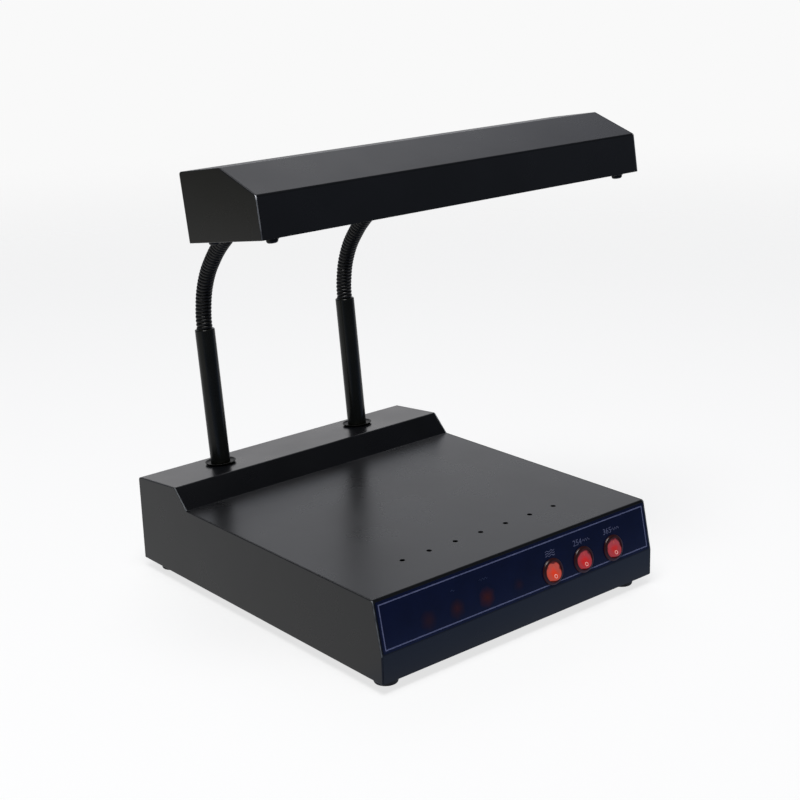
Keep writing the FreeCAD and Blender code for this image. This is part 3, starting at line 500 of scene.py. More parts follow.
# %% Bare metals
# Zinc plated steel: a bluish grey that is bright in places and cloudy in others.
zinc, tree, shader = finish("zinc_plated_steel", Metallic=1.0)
speckled(tree, shader, "#a3a49f", "#c6c8c4", 5)
patchy_gloss(tree, shader, 0.28, 0.45, 6)

# Drawn brass: yellow pins and terminals, bright from the die.
brass, tree, shader = finish("drawn_brass", Metallic=1.0)
speckled(tree, shader, "#b08d4c", "#c9a766", 3)
patchy_gloss(tree, shader, 0.22, 0.36, 3)

# Bright rolled aluminium: the reflector's near mirror, which doubles the tubes.
aluminium, tree, shader = finish("bright_rolled_aluminium", Metallic=1.0)
speckled(tree, shader, "#cfd1d3", "#e2e3e4", 12)
patchy_gloss(tree, shader, 0.12, 0.24, 20)

# Resistance wire, oxidised by its heat: a dull brownish grey.
heater_wire, tree, shader = finish("oxidised_resistance_wire", Metallic=1.0)
speckled(tree, shader, "#5d5650", "#7b736b", 1.5)
patchy_gloss(tree, shader, 0.4, 0.6, 2)
print("metals:", zinc.name, brass.name, aluminium.name, heater_wire.name)

# %% [markdown]
# ## Plastics and ceramic inside
#
# The mould's spark-eroded grain gives plastics a soft, even sheen. It is drawn at a
# quarter of a millimetre or a little more, coarser than the real one, so that it shows
# close up. Steatite, which holds the heater, is fired and unglazed, and has a stony look.

# %% Plastics and ceramic inside
# Moulded polyamide: black with a broad, low sheen, for the inlet and the fan.
black_plastic, tree, shader = finish("moulded_black_polyamide", IOR=1.53, Roughness=0.4)
speckled(tree, shader, "#0e0e0f", "#151516", 5)
bumpy(tree, shader, 0.25, 0.006)

# Moulded polycarbonate: warm white, yellowed a little by the tubes' light.
white_plastic, tree, shader = finish("moulded_white_polycarbonate", IOR=1.58, Roughness=0.4)
speckled(tree, shader, "#d8d6cf", "#e4e2dc", 8)
bumpy(tree, shader, 0.3, 0.005)

# Fired steatite: a matt cream with a grain that the light picks out.
heater_ceramic, tree, shader = finish("fired_steatite_ceramic", Roughness=0.6)
speckled(tree, shader, "#c9c2b2", "#ddd7ca", 3)
bumpy(tree, shader, 0.3, 0.02)
print("mouldings:", black_plastic.name, white_plastic.name, heater_ceramic.name)

# %% [markdown]
# ## Three kinds of glass
#
# The short-wave tube is clear quartz glass, so its inside shows. The long-wave tube is
# coated inside with phosphor and looks like white paper. The filter below them is so
# dark a violet that it reads as black until light stands behind it.

# %% Three kinds of glass
# Polished filter glass: near black, with a violet tint where light comes through.
filter_glass, tree, shader = finish("violet_filter_glass", IOR=1.52, Roughness=0.04)
shader.inputs["Transmission Weight"].default_value = 0.85
speckled(tree, shader, "#150a2a", "#1b0e33", 30)

# Drawn quartz tube: clear, with bright lines along its two sides.
tube_glass, tree, shader = finish("clear_quartz_glass_tube", IOR=1.46, Roughness=0.03)
shader.inputs["Transmission Weight"].default_value = 1.0
speckled(tree, shader, "#e8eef2", "#f4f7f9", 20)

# Phosphor settled inside a glass tube: an even, chalky white under a glossy skin.
phosphor_tube, tree, shader = finish("phosphor_coated_glass_tube", Roughness=0.25)
speckled(tree, shader, "#dcdde0", "#ececee", 10)
bumpy(tree, shader, 0.4, 0.004)
print("materials:", len(bpy.data.materials))

# %% [markdown]
# ## The base, folded from one sheet
#
# The wrapper of the base is a single sheet: front skirt, leaning panel, work surface,
# sloping ledge face, ledge top and back wall. Its profile is a row of corners in the
# (y, z) plane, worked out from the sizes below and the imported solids' boxes. Each fold
# between two of its faces has its own radius, counted on the outside of the sheet.

# %% Sizes of the base
sheet = 1.2 * mm
fold_radius = 2.2 * mm
skirt_height = 21.0 * mm
surface_height = 59.5 * mm
panel_lean = radians(12)
back_height = 69.5 * mm
ledge_depth = 54.0 * mm
ledge_fall = radians(5.4)
punched_edge = 0.12 * mm

base_low, base_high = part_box("base_shell")
front_y, back_y, floor_z = base_low.y, base_high.y, base_low.z
half_width, inner_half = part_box("side_plate_right")[1].x, base_high.x
surface_z = floor_z + surface_height
panel_top_y = front_y + (surface_height - skirt_height) * tan(panel_lean)
panel_length = (surface_height - skirt_height) / cos(panel_lean)
ledge_top_y = back_y - ledge_depth
ledge_top_z = floor_z + back_height + ledge_depth * tan(ledge_fall)
ledge_foot_y = ledge_top_y - (ledge_top_z - surface_z)

base_profile = [
    (front_y, floor_z),
    (front_y, floor_z + skirt_height),
    (panel_top_y, surface_z),
    (ledge_foot_y, surface_z),
    (ledge_top_y, ledge_top_z),
    (back_y, floor_z + back_height),
    (back_y, floor_z),
]
base_fold_radii = [fold_radius, fold_radius, fold_radius - sheet, fold_radius, fold_radius]
print("base:", round(2 * half_width / mm), "by", round((back_y - front_y) / mm), "mm")

# %% [markdown]
# ## Folding a sheet
#
# A press brake folds the real wrapper. Here a single edge is pulled from corner to
# corner of the profile, which gives flat faces with sharp folds, and each fold is then
# bevelled to its real radius. The bevel's offset is worked out from that radius and
# from the angle that the sheet turns by.


# %% Folding a sheet
def round_fold(piece, corners, radius):
    """Rounds the fold at the middle one of three corners of the profile."""
    before, here, after = [Vector(c) for c in corners]
    turn = (here - before).angle(after - here)
    place = Vector((0, *here))

    def is_fold(edge):
        return (middle_of(edge) - place).yz.length < 0.01 * mm and not is_open(edge)

    pick_edges(piece, is_fold)
    offset = radius * tan(turn / 2)
    bpy.ops.mesh.bevel(offset=offset, segments=8, profile=0.5, affect="EDGES")


def fold_sheet(profile, radii, x0, x1):
    """A sheet between two places along X, pulled along a (y, z) profile and folded."""
    width = x1 - x0
    bpy.ops.object.select_all(action="DESELECT")
    bpy.ops.mesh.primitive_plane_add(size=width, location=((x0 + x1) / 2, 0, 0))
    piece = put(bpy.context.object, Matrix.Identity(4))
    with editing(piece):
        pick_edges(piece, lambda edge: middle_of(edge).y > 0.4 * width)
        bpy.ops.mesh.select_mode(type="VERT")
        bpy.ops.mesh.delete(type="VERT")
        bpy.ops.mesh.select_all(action="SELECT")
        start = Vector((0, *profile[0])) + Vector((0, width / 2, 0))
        bpy.ops.transform.translate(value=start)
        for (y0, z0), (y1, z1) in zip(profile, profile[1:]):
            step = {"value": (0, y1 - y0, z1 - z0)}
            bpy.ops.mesh.extrude_region_move(TRANSFORM_OT_translate=step)
        for i, radius in enumerate(radii):
            round_fold(piece, profile[i : i + 3], radius)
    return piece


wrapper = fold_sheet(base_profile, base_fold_radii, -inner_half, inner_half)
print("folded faces:", len(wrapper.data.polygons))

# %% [markdown]
# ## Thickness, inwards
#
# Solidify gives the sheet its thickness on the inner side, so the outside keeps its
# size. An open sheet has no inside that Blender could find, so its normals are tested
# first: on the whole they have to point away from the sheet's middle.


# %% Thickness, inwards
def thickened(piece):
    """Turns an open folded sheet's faces outwards and gives it its thickness, inwards."""
    with editing(piece):
        bpy.ops.mesh.normals_make_consistent(inside=False)
    faces = piece.data.polygons
    middle = sum((f.center * f.area for f in faces), Vector()) / sum(f.area for f in faces)
    outward = sum((f.center - middle).dot(f.normal) * f.area for f in faces)
    if outward < 0:
        with editing(piece):
            bpy.ops.mesh.flip_normals()
    modify(piece, "SOLIDIFY", thickness=sheet, offset=-1.0)


thickened(wrapper)
print("wrapper faces:", len(wrapper.data.polygons))

# %% [markdown]
# ## Frames of the panel and the posts
#
# Parts on a leaning face are easier to place in that face's own frame, with z out of
# the sheet. The panel's frame starts at its lower fold, and the posts' frame lies on the
# ledge top between them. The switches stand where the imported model's rocker joints are,
# so a rocker turns about its own axle.

# %% Frames of the panel and the posts
post_setback, post_x = 23.5 * mm, 71.25 * mm
switch_up = 12.3 * mm
on_its_back = about_x(pi / 2)

panel_place = at(0, front_y, floor_z + skirt_height) @ about_x(pi / 2 - panel_lean)
post_y = back_y - post_setback
post_z = floor_z + back_height + post_setback * tan(ledge_fall)
post_place = at(0, post_y, post_z) @ about_x(-ledge_fall)

sides = ((-1, "left"), (1, "right"))
switch_names = ("left", "middle", "right")
joints = {joint["name"]: joint for joint in frame["joints"]}
switch_x = [joints[f"rocker_{name}_press"]["pos_m"][0] for name in switch_names]
print("switches at x =", [round(x / mm, 1) for x in switch_x], "mm")

# %% [markdown]
# ## Cutters
#
# A hole is a cutter taken away from a piece by the Boolean modifier. A cylinder makes a
# round hole and a block a slot, and each sticks out of the sheet on both sides, because
# faces in one plane confuse a Boolean. All the cutters of a piece are joined first, so
# that one Boolean does it.

# %% Cutters
through = 10 * mm


def punch(radius, place, length=through, vertices=48):
    """A round cutter along the Z axis of its place."""
    bpy.ops.mesh.primitive_cylinder_add(vertices=vertices, radius=radius, depth=length)
    return put(bpy.context.object, place)


def block(size, place):
    """A block about the origin of its place, as a cutter or a bar."""
    bpy.ops.mesh.primitive_cube_add(size=1)
    made = bpy.context.object
    made.scale = size
    return put(made, place)


def cut_with(piece, *cutters):
    """Joins the cutters and takes them away from a piece."""
    bpy.ops.object.select_all(action="DESELECT")
    for cutter in cutters:
        cutter.select_set(True)
    bpy.context.view_layer.objects.active = cutters[0]
    if len(cutters) > 1:
        bpy.ops.object.join()
    tool = bpy.context.view_layer.objects.active
    modify(piece, "BOOLEAN", operation="DIFFERENCE", solver="EXACT", object=tool)
    discard(tool)


print("a cutter is", round(through / sheet, 1), "times as long as the sheet is thick")

# %% [markdown]
# ## Holes punched in the base
#
# Seven small air holes let warm air out under a wet plate. Round cut-outs take the
# switches, two larger holes take the posts, and the back wall has vent slots and the
# mains inlet's cut-out. A factory punches them while the sheet is flat. Here they are
# cut after folding, because only the folded sheet says where they are.

# %% Holes punched in the base
air_hole_radius, switch_hole_radius, post_hole_radius = 2.0 * mm, 8.3 * mm, 7.1 * mm
air_hole_x = [(i - 3) * 25.2 * mm for i in range(7)]
air_hole_y = front_y + 47.2 * mm
vent_x = [-60.0 * mm + (i - 3) * 8.0 * mm for i in range(7)]
vent_size, vent_z = (3.0 * mm, through, 40.0 * mm), floor_z + 36.0 * mm
inlet_x, inlet_z = half_width - 50.0 * mm, floor_z + 34.0 * mm
inlet_size = (27.6 * mm, through, 20.2 * mm)
inlet_screw_x, inlet_screw_hole = 20 * mm, 1.7 * mm


air_holes = [at(x, air_hole_y, surface_z) for x in air_hole_x]
cutters = [punch(air_hole_radius, place, vertices=32) for place in air_holes]
cutters += [punch(switch_hole_radius, panel_place @ at(x, switch_up, 0)) for x in switch_x]
cutters += [punch(post_hole_radius, post_place @ at(s * post_x, 0, 0)) for s, _ in sides]
cutters += [block(vent_size, at(x, back_y, vent_z)) for x in vent_x]
cutters.append(block(inlet_size, at(inlet_x, back_y, inlet_z)))
for side, _ in sides:
    spot = at(inlet_x + side * inlet_screw_x, back_y, inlet_z)
    cutters.append(punch(inlet_screw_hole, spot @ on_its_back, vertices=24))
cut_with(wrapper, *cutters)
eased(wrapper, punched_edge)
finished(wrapper, "base_wrapper", "base", [powder_coat], "base_shell")
print("holes cut; faces now:", len(wrapper.data.polygons))

# %% [markdown]
# ## Side plates
#
# Each side plate is flat sheet cut to the wrapper's profile, with a flange turned in at the
# bottom for the floor's screws. It is made by folding a narrow strip along the same profile and
# filling its two open sides, so plate and wrapper meet exactly. Its outer edge is what a hand
# meets first. Its bevel carries a pale grey that shows as a thin pale line, partly the coat
# rubbed thin and partly a painted highlight.

# %% Side plates
flange_edge = 0.15 * mm


def plate_from(profile, radii, x_outer, x_inner):
    """A flat plate of a closed (y, z) profile, as thick as two places along X are apart."""
    piece = fold_sheet(profile, radii, min(x_outer, x_inner), max(x_outer, x_inner))
    with editing(piece):
        for x in (x_outer, x_inner):
            pick_edges(piece, lambda edge: all(abs(v.co.x - x) < 0.001 * mm for v in edge.verts))
            bpy.ops.mesh.edge_face_add()
        pick_edges(piece, is_open)
        bpy.ops.mesh.edge_face_add()
        bpy.ops.mesh.select_all(action="SELECT")
        bpy.ops.mesh.normals_make_consistent(inside=False)
    return piece


def edge_wear_and_painted_highlight(piece, width, coat, worn_and_lit_finish, is_worn_and_lit):
    """Bevels the sharp edges, and gives the faces that pass a test the worn finish, which
    carries a painted highlight too.
    """
    piece.data.materials.append(coat)
    piece.data.materials.append(worn_and_lit_finish)
    eased(piece, width, segments=3)
    for face in piece.data.polygons:
        face.material_index = int(is_worn_and_lit(face))


def is_pale_front_bevel(face):
    """Whether a face of a side plate is the bevel along its front and work surface."""
    facing_out = abs(face.normal.x) >= 0.95
    return not facing_out and face.normal.y < -0.3 and face.center.z > skirt_height


for side, name in sides:
    plate = plate_from(base_profile, base_fold_radii, side * half_width, side * inner_half)
    # The front bevels get a pale grey: partly the coat rubbed thin, partly a painted highlight.
    edge_wear_and_painted_highlight(plate, 0.55 * mm, powder_coat, rubbed_coat_and_painted_highlight, is_pale_front_bevel)
    flange_place = at(side * (inner_half - 5.0 * mm), 0, floor_z + 1.5 * sheet)
    flange = block((10.0 * mm, back_y - front_y - 4 * sheet, sheet), flange_place)
    modify(flange, "BEVEL", width=flange_edge, segments=2)
    finished(flange, "side_flange_" + name, "base", [powder_coat])
    finished(plate, "side_panel_" + name, "base", [], "side_plate_" + name)
print("side plates:", len(plate.data.polygons), "faces each")

# %% [markdown]
# ## The printed front label
#
# The label is a film glued to the leaning panel. A plane is inset twice, and the ring
# between the two insets becomes the pale border line, printed in its own ink, so the
# line is as sharp as print at any distance. The film gets its thickness, rounded
# corners and the switches' holes while it still lies flat, and is then laid on the panel.

# %% Label film with its border line
label_thickness, label_margin, label_corner = 0.3 * mm, 0.8 * mm, 1.2 * mm
label_hole_radius = 8.4 * mm
border_inset, border_line = 1.9 * mm, 0.9 * mm
label_low = label_margin + fold_radius * tan(panel_lean / 2)
label_high = panel_length - label_margin - fold_radius / 2
label_half = half_width - 2.0 * mm
label_middle = Vector((0, (label_low + label_high) / 2, label_thickness))
inside_x = label_half - border_inset - border_line
inside_y = (label_high - label_low) / 2 - border_inset - border_line
slack = 0.01 * mm

bpy.ops.object.select_all(action="DESELECT")
bpy.ops.mesh.primitive_plane_add(size=1, location=label_middle)
label = bpy.context.object
label.scale = (2 * label_half, label_high - label_low, 1)
put(label, Matrix.Identity(4))
label.data.materials.append(label_film)
label.data.materials.append(border_ink)
with editing(label):
    bpy.ops.mesh.select_mode(type="FACE")
    bpy.ops.mesh.select_all(action="SELECT")
    bpy.ops.mesh.inset(thickness=border_inset)
    bpy.ops.mesh.inset(thickness=border_line)
for face in label.data.polygons:
    away = face.center - label_middle
    past = max(abs(away.x) - inside_x, abs(away.y) - inside_y)
    face.material_index = int(-slack < past < border_line + 2 * slack)
modify(label, "SOLIDIFY", thickness=label_thickness, offset=-1.0)


def is_corner(edge):
    """Whether an edge stands upright at a corner of the film."""
    upright = abs(edge.verts[0].co.z - edge.verts[1].co.z) > 0.1 * mm
    return upright and abs(middle_of(edge).x) > label_half - slack


with editing(label):
    pick_edges(label, is_corner)
    bpy.ops.mesh.bevel(offset=label_corner, segments=5, affect="EDGES")
cut_with(label, *(punch(label_hole_radius, at(x, switch_up, 0)) for x in switch_x))
put(label, panel_place)
finished(label, "label_film", "base", [], "front_label")
print("label:", round(2 * label_half / mm), "mm long,", len(label.data.polygons), "faces")

# %% [markdown]
# ## Printing on a face
#
# The signs are printed, but each is made as a real flat mesh in its own ink, because
# print that is only a pattern blurs when it is looked at closely. One helper lays the
# mark that was made last on a face, a hair proud of it. Another draws a wave by pulling
# one short edge along a sine.

# %% Printing on a face
ink_depth = 0.02 * mm


def printed(name, ink, x, y, body="base", place=panel_place, lift=label_thickness):
    """Lays the active flat mark on a face, a hair proud of it."""
    mark = bpy.context.object
    mark.data.materials.clear()
    put(mark, place @ at(x, y, lift + ink_depth))
    modify(mark, "SOLIDIFY", thickness=ink_depth, offset=0.0)
    finished(mark, name, body, [ink])


def ripple(length, swing, width, waves):
    """A wavy stroke about the origin, drawn by pulling one short edge along a wave."""
    steps = 16 * waves
    bpy.ops.object.select_all(action="DESELECT")
    bpy.ops.mesh.primitive_plane_add(size=width)
    wave = bpy.context.object
    with editing(wave):
        pick_edges(wave, lambda edge: middle_of(edge).x > 0.4 * width)
        for i in range(steps):
            now, then = (sin(2 * pi * waves * k / steps) for k in (i, i + 1))
            step = {"value": (length / steps, swing * (then - now), 0)}
            bpy.ops.mesh.extrude_region_move(TRANSFORM_OT_translate=step)
        bpy.ops.mesh.select_all(action="SELECT")
        bpy.ops.transform.translate(value=(-length / 2, 0, 0))


print("print stands", round((label_thickness + ink_depth) / mm, 2), "mm off the panel")

# %% [markdown]
# ## Numbers and waves over the switches
#
# Numbers stand over two of the switches, with a small wave behind each, and three waves
# of warm air stand over the first. A number is a text object made a mesh. Its size is
# that of the whole line of type, so it is worked out from the height of a digit.

# %% Numbers and waves
legend_up = 26.2 * mm
digit_height, digit_share = 4.4 * mm, 0.7

for text, x in zip(("254", "365"), switch_x[1:]):
    bpy.ops.object.select_all(action="DESELECT")
    bpy.ops.object.text_add()
    digits = bpy.context.object.data
    digits.body, digits.size = text, digit_height / digit_share
    digits.align_x, digits.align_y = "CENTER", "CENTER"
    bpy.ops.object.convert(target="MESH")
    printed("legend_" + text, legend_ink, x - 3.6 * mm, legend_up)
for row in (-1, 0, 1):
    ripple(9.0 * mm, 0.5 * mm, 0.6 * mm, 2)
    up = legend_up + row * 1.7 * mm
    printed(f"legend_warm_air_{row + 2}", legend_ink, switch_x[0], up)
for name, x in zip(switch_names[1:], switch_x[1:]):
    ripple(7.4 * mm, 0.8 * mm, 0.6 * mm, 3)
    printed(f"legend_wave_{name}", legend_ink, x + 5.4 * mm, legend_up)

# %% [markdown]
# ## Unlit windows in the film
#
# The four small windows to the left are lamps behind the film that aren't lit. Where
# they are, the film has no navy behind it, and a dull red shows that has no edge. Each
# is a thin disc with the fading map as its colour. Two have a worn mark above them.

# %% Unlit windows
windows = [  # place along the panel, reach, and the colours of core and body
    (-90.6 * mm, 8.2 * mm, "#2b1626", "#20142c"),
    (-64.2 * mm, 8.0 * mm, "#3a1720", "#241428"),
    (-35.9 * mm, 8.4 * mm, "#4c1b18", "#341628"),
    (-4.6 * mm, 5.6 * mm, "#26142a", "#18132e"),
]
worn_marks = [(-66.0 * mm, 3.0 * mm, 1), (-37.0 * mm, 8.0 * mm, 3)]  # place, length, waves

for i, (x, reach, core, body) in enumerate(windows, 1):
    bpy.ops.object.select_all(action="DESELECT")
    bpy.ops.mesh.primitive_circle_add(vertices=40, radius=reach, fill_type="NGON")
    centre = panel_place @ Vector((x, switch_up, label_thickness))
    glass = dim_window(f"unlit_window_{i}_in_film", centre, reach, core, body)
    printed(f"unlit_window_{i}", glass, x, switch_up)
for i, (x, length, waves) in enumerate(worn_marks, 1):
    ripple(length, 0.6 * mm, 0.5 * mm, waves)
    printed(f"faint_mark_{i}", faint_ink, x, legend_up)
print("windows:", len(windows), "worn marks:", len(worn_marks))

# %% [markdown]
# ## Turning a profile
#
# Many of the lamp's parts are round and were turned or moulded round: bezels, rockers,
# posts, rings, screws and feet. One helper does for all of them what a lathe does. It
# pulls a point along half the part's outline and spins that line about the Z axis. The
# first and last turn of the spin, and the points on the axis, are then merged, so the
# part is closed.


# %% Turning a profile
def turn(profile, steps=64):
    """Turns a profile of (radius, height) points about the Z axis, as on a lathe."""
    bpy.ops.object.select_all(action="DESELECT")
    bpy.ops.mesh.primitive_plane_add(size=1 * mm)
    piece = bpy.context.object
    with editing(piece):
        bpy.ops.mesh.merge(type="CENTER")
        bpy.ops.transform.translate(value=(profile[0][0], 0, profile[0][1]))
        for (r0, z0), (r1, z1) in zip(profile, profile[1:]):
            step = {"value": (r1 - r0, 0, z1 - z0)}
            bpy.ops.mesh.extrude_vertices_move(TRANSFORM_OT_translate=step)
        bpy.ops.mesh.select_all(action="SELECT")
        bpy.ops.mesh.spin(steps=steps, angle=2 * pi, center=(0, 0, 0), axis=(0, 0, 1))
        bpy.ops.mesh.select_all(action="SELECT")
        bpy.ops.mesh.remove_doubles(threshold=0.001 * mm)
        bpy.ops.mesh.normals_make_consistent(inside=False)
    return piece


def rounded(radius, height, corner, steps=4):
    """Points of a rounded corner from a wall at a radius in to a face at a height."""
    turns = [i / steps * pi / 2 for i in range(steps + 1)]
    return [(radius - corner * (1 - cos(a)), height - corner * (1 - sin(a))) for a in turns]


print("a corner is drawn with", len(rounded(1, 1, 0.5)), "points")

# %% [markdown]
# ## Round rocker switches
#
# A round rocker sits in a bezel that snaps into the panel. Bezel and body are turned
# from one profile with a well in it, and the rocker is a short drum whose top is cut by
# two planes that meet in a shallow valley. Its edges are eased after the cut, because a
# moulded part has no sharp ones, and they catch the light.

# %% Bezel and rocker, modelled once
bezel_radius, bezel_height = 10.0 * mm, 2.0 * mm
body_radius, body_depth = 8.1 * mm, 18.0 * mm
rocker_radius, rocker_gap = 7.0 * mm, 0.6 * mm
rocker_bottom, rocker_top = -3.0 * mm, 6.0 * mm
valley, face_angle = 2.5 * mm, radians(10)
well_radius, well_depth = rocker_radius + rocker_gap, 5.3 * mm

top = label_thickness + bezel_height
bezel = turn([
    (0, -body_depth), (body_radius, -body_depth), (body_radius, label_thickness),
    (bezel_radius, label_thickness), (bezel_radius, top - 1.3 * mm),
    (bezel_radius - 0.5 * mm, top - 0.45 * mm), (bezel_radius - 1.2 * mm, top - 0.1 * mm),
    (well_radius + 0.4 * mm, top), (well_radius + 0.1 * mm, top - 0.1 * mm),
    (well_radius, top - 0.4 * mm), (well_radius, -well_depth), (0, -well_depth),
])
eased(bezel, 0.12 * mm, angle=40)

drum = turn([
    (0, rocker_bottom), (rocker_radius, rocker_bottom), (rocker_radius, rocker_top),
    (0, rocker_top),
])
big = 30 * mm
for side in (-1, 1):
    tilted = at(0, 0, valley) @ about_x(side * face_angle)
    cut_with(drum, block((big, big, big), tilted @ at(0, side * big / 2, big / 2)))
eased(drum, 0.45 * mm, angle=40, segments=3)
print("bezel:", len(bezel.data.polygons), "faces; rocker:", len(drum.data.polygons))

# %% [markdown]
# ## Three switches, all on
#
# Each switch gets its own copies, and a lens of its own, because the three glow a
# little differently: the left one is the brightest and most orange. A bar and a ring
# mark on and off. All three are on, so their upper sides are pressed in. Rocker, lens
# and marks ride on the rocker's body, and the bezel stays with the base.

# %% Three switches
pivot_depth, press = 0.5 * mm, radians(10)
# The glow's centre sits below and left of the rocker's middle, so its dim rim falls at the top
# right: painted shade of the bezel there.
glow_centre_for_painted_shade = Vector((-0.8 * mm, -1.4 * mm, valley))
mark_out = 4.0 * mm
lens_glows = [  # core, body and rim of the glow
    ("#c6371c", "#aa4436", "#4a1511"),
    ("#b02020", "#973036", "#3c0f12"),
    ("#a62424", "#93343a", "#381116"),
]


def ring_mark():
    """The ring that stands for off, flat about the origin."""
    bpy.ops.object.select_all(action="DESELECT")
    bpy.ops.mesh.primitive_circle_add(vertices=32, radius=1.6 * mm, fill_type="NGON")
    with editing(bpy.context.object):
        bpy.ops.mesh.inset(thickness=0.6 * mm)
        bpy.ops.mesh.delete(type="FACE")


def bar_mark():
    """The bar that stands for on, flat about the origin."""
    bpy.ops.object.select_all(action="DESELECT")
    bpy.ops.mesh.primitive_plane_add(size=1)
    bpy.context.object.scale = (0.5 * mm, 2.6 * mm, 1)


for i, (name, x, glows) in enumerate(zip(switch_names, switch_x, lens_glows), 1):
    seat = panel_place @ at(x, switch_up, 0)
    rides = "rocker_" + name
    bezel_name = "switch_bezel_" + name
    finished(copied(bezel, seat), bezel_name, "base", [bezel_with_painted_glow], "switch_housings")
    pivot = seat @ at(0, 0, -pivot_depth) @ about_x(-press)
    button = copied(drum, pivot)
    lens = lit_lens("lit_red_polycarbonate_" + name, pivot @ glow_centre_for_painted_shade, *glows)
    finished(button, "rocker_lens_" + name, rides, [lens], f"rocker_{i}")
    faces = [pivot @ at(0, 0, valley) @ about_x(half * face_angle) for half in (-1, 1)]
    ring_mark()
    printed("rocker_mark_off_" + name, white_mark, 0, -mark_out, rides, faces[0], 0)
    # The on bar lies on the pressed-in upper half, in a near red that paints the shade there.
    bar_mark()
    printed("rocker_mark_on_" + name, on_mark_in_painted_shade, 0, mark_out, rides, faces[1], 0)
discard(bezel, drum)
print("switches:", len(switch_x))

# %% [markdown]
# ## Posts and their rings
#
# The posts are lacquered steel tubes that stand at a right angle to the falling ledge
# top, so they lean back a little. Each is turned from one profile: the thread below the
# ledge, the wall, and a rounded lip at the top where the neck goes in. A thin pressed
# ring with an upturned rim lies between post and ledge.

# %% Posts and rings
post_radius, bore_radius, wire_radius = 8.0 * mm, 6.5 * mm, 5.0 * mm
post_length, bore_depth, lip = 112.0 * mm, 18.0 * mm, 1.1 * mm
thread_length, thread_pitch = 14.0 * mm, 1.0 * mm
thread_radius, root_radius = 6.9 * mm, 6.3 * mm
ring_radius, ring_thickness, ring_rim = 12.6 * mm, 0.9 * mm, 1.9 * mm

profile = [(wire_radius, -thread_length)]
for i in range(round(thread_length / thread_pitch)):
    low = -thread_length + i * thread_pitch
    profile += [(root_radius, low), (thread_radius, low + thread_pitch / 2)]
profile += [
    (root_radius, 0), (thread_radius, ring_thickness),
    (post_radius - 0.3 * mm, ring_thickness), (post_radius, ring_thickness + 0.3 * mm),
    *rounded(post_radius, post_length, lip),
    (bore_radius + 0.15 * mm, post_length - 0.1 * mm), (bore_radius, post_length - 0.4 * mm),
    (bore_radius, post_length - bore_depth), (wire_radius, post_length - bore_depth),
    (wire_radius, -thread_length),
]
post = turn(profile)
ring = turn([
    (post_hole_radius, 0), (ring_radius - ring_rim, 0), (ring_radius - 1.5 * mm, 0.4 * mm),
    (ring_radius - 0.35 * mm, ring_rim - 0.7 * mm), (ring_radius, ring_rim - 0.15 * mm),
    (ring_radius - 0.2 * mm, ring_rim), (ring_radius - 0.6 * mm, ring_rim - 0.1 * mm),
    (ring_radius - 1.5 * mm, ring_rim - 0.85 * mm), (ring_radius - 2.6 * mm, ring_thickness),
    (post_hole_radius, ring_thickness), (post_hole_radius, 0),
])
for side, name in sides:
    foot = post_place @ at(side * post_x, 0, 0)
    finished(copied(post, foot), "post_tube_" + name, "base", [post_lacquer], "post_" + name)
    finished(copied(ring, foot), "foot_ring_" + name, "base", [dull_steel], "post_rings")
discard(post, ring)
print("posts lean back", round(degrees(ledge_fall), 1), "degrees")

# %% [markdown]
# ## The necks' line
#
# A gooseneck holds any shape by friction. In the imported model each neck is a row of
# short links with a hinge between them, so the line of the necks runs through those
# hinges: up out of the post, over the eight bends, and into the back of the head. A
# Bezier curve with automatic handles passes smoothly through them all. Both necks share
# this line, each at its own place along X.

# %% The necks' line
head_tilt = radians(9)
neck_reach, neck_rise, neck_entry = 153.0 * mm, 106.8 * mm, 24.0 * mm

neck_start = post_place @ Vector((0, 0, post_length))
head_origin = neck_start + Vector((0, -neck_reach, neck_rise))
head_place = Matrix.Translation(head_origin) @ about_x(-head_tilt)
neck_end = head_place @ Vector((0, 0, neck_entry))
bends = [Vector(joints[f"neck_bend_{k + 1}"]["pos_m"]) for k in range(8)]
post_up = (post_place.to_3x3() @ Vector((0, 0, 1))).normalized()
head_in = (head_place.to_3x3() @ Vector((0, -1, 0))).normalized()
neck_line = [neck_start - post_up * 16 * mm, neck_start - post_up * 6 * mm, neck_start]
neck_line += bends + [neck_end, neck_end + head_in * 4.5 * mm]


def neck_curve():
    """A smooth curve through the points of the necks' line."""
    bpy.ops.curve.primitive_bezier_curve_add()
    curve = bpy.context.object
    spline = curve.data.splines[0]
    spline.bezier_points.add(len(neck_line) - 2)
    for point, place in zip(spline.bezier_points, neck_line):
        point.co = place
        point.handle_left_type = point.handle_right_type = "AUTO"
    curve.data.resolution_u = 24
    return curve


print("the necks' line has", len(neck_line), "points")

# %% [markdown]
# ## Winding a neck
#
# A gooseneck is wire wound tight round a core, so its face is a fine helix and not a
# stack of rings. A profile of one rib is swept up a screw line by the Screw modifier,
# and the straight neck is then bent along the line by the Curve modifier. Modelling it
# straight keeps the ribs even. Each rib is flatter than half a sine, as worn wire is.

# %% Winding a neck
neck_radius, rib_pitch, rib_depth = 6.5 * mm, 3.1 * mm, 0.75 * mm
rib_steps, neck_sides = 6, 28


def rib_height(share):
    """How far the wire stands out at a share of its pitch."""
    return rib_depth * max(sin(pi * share), 0) ** 0.7


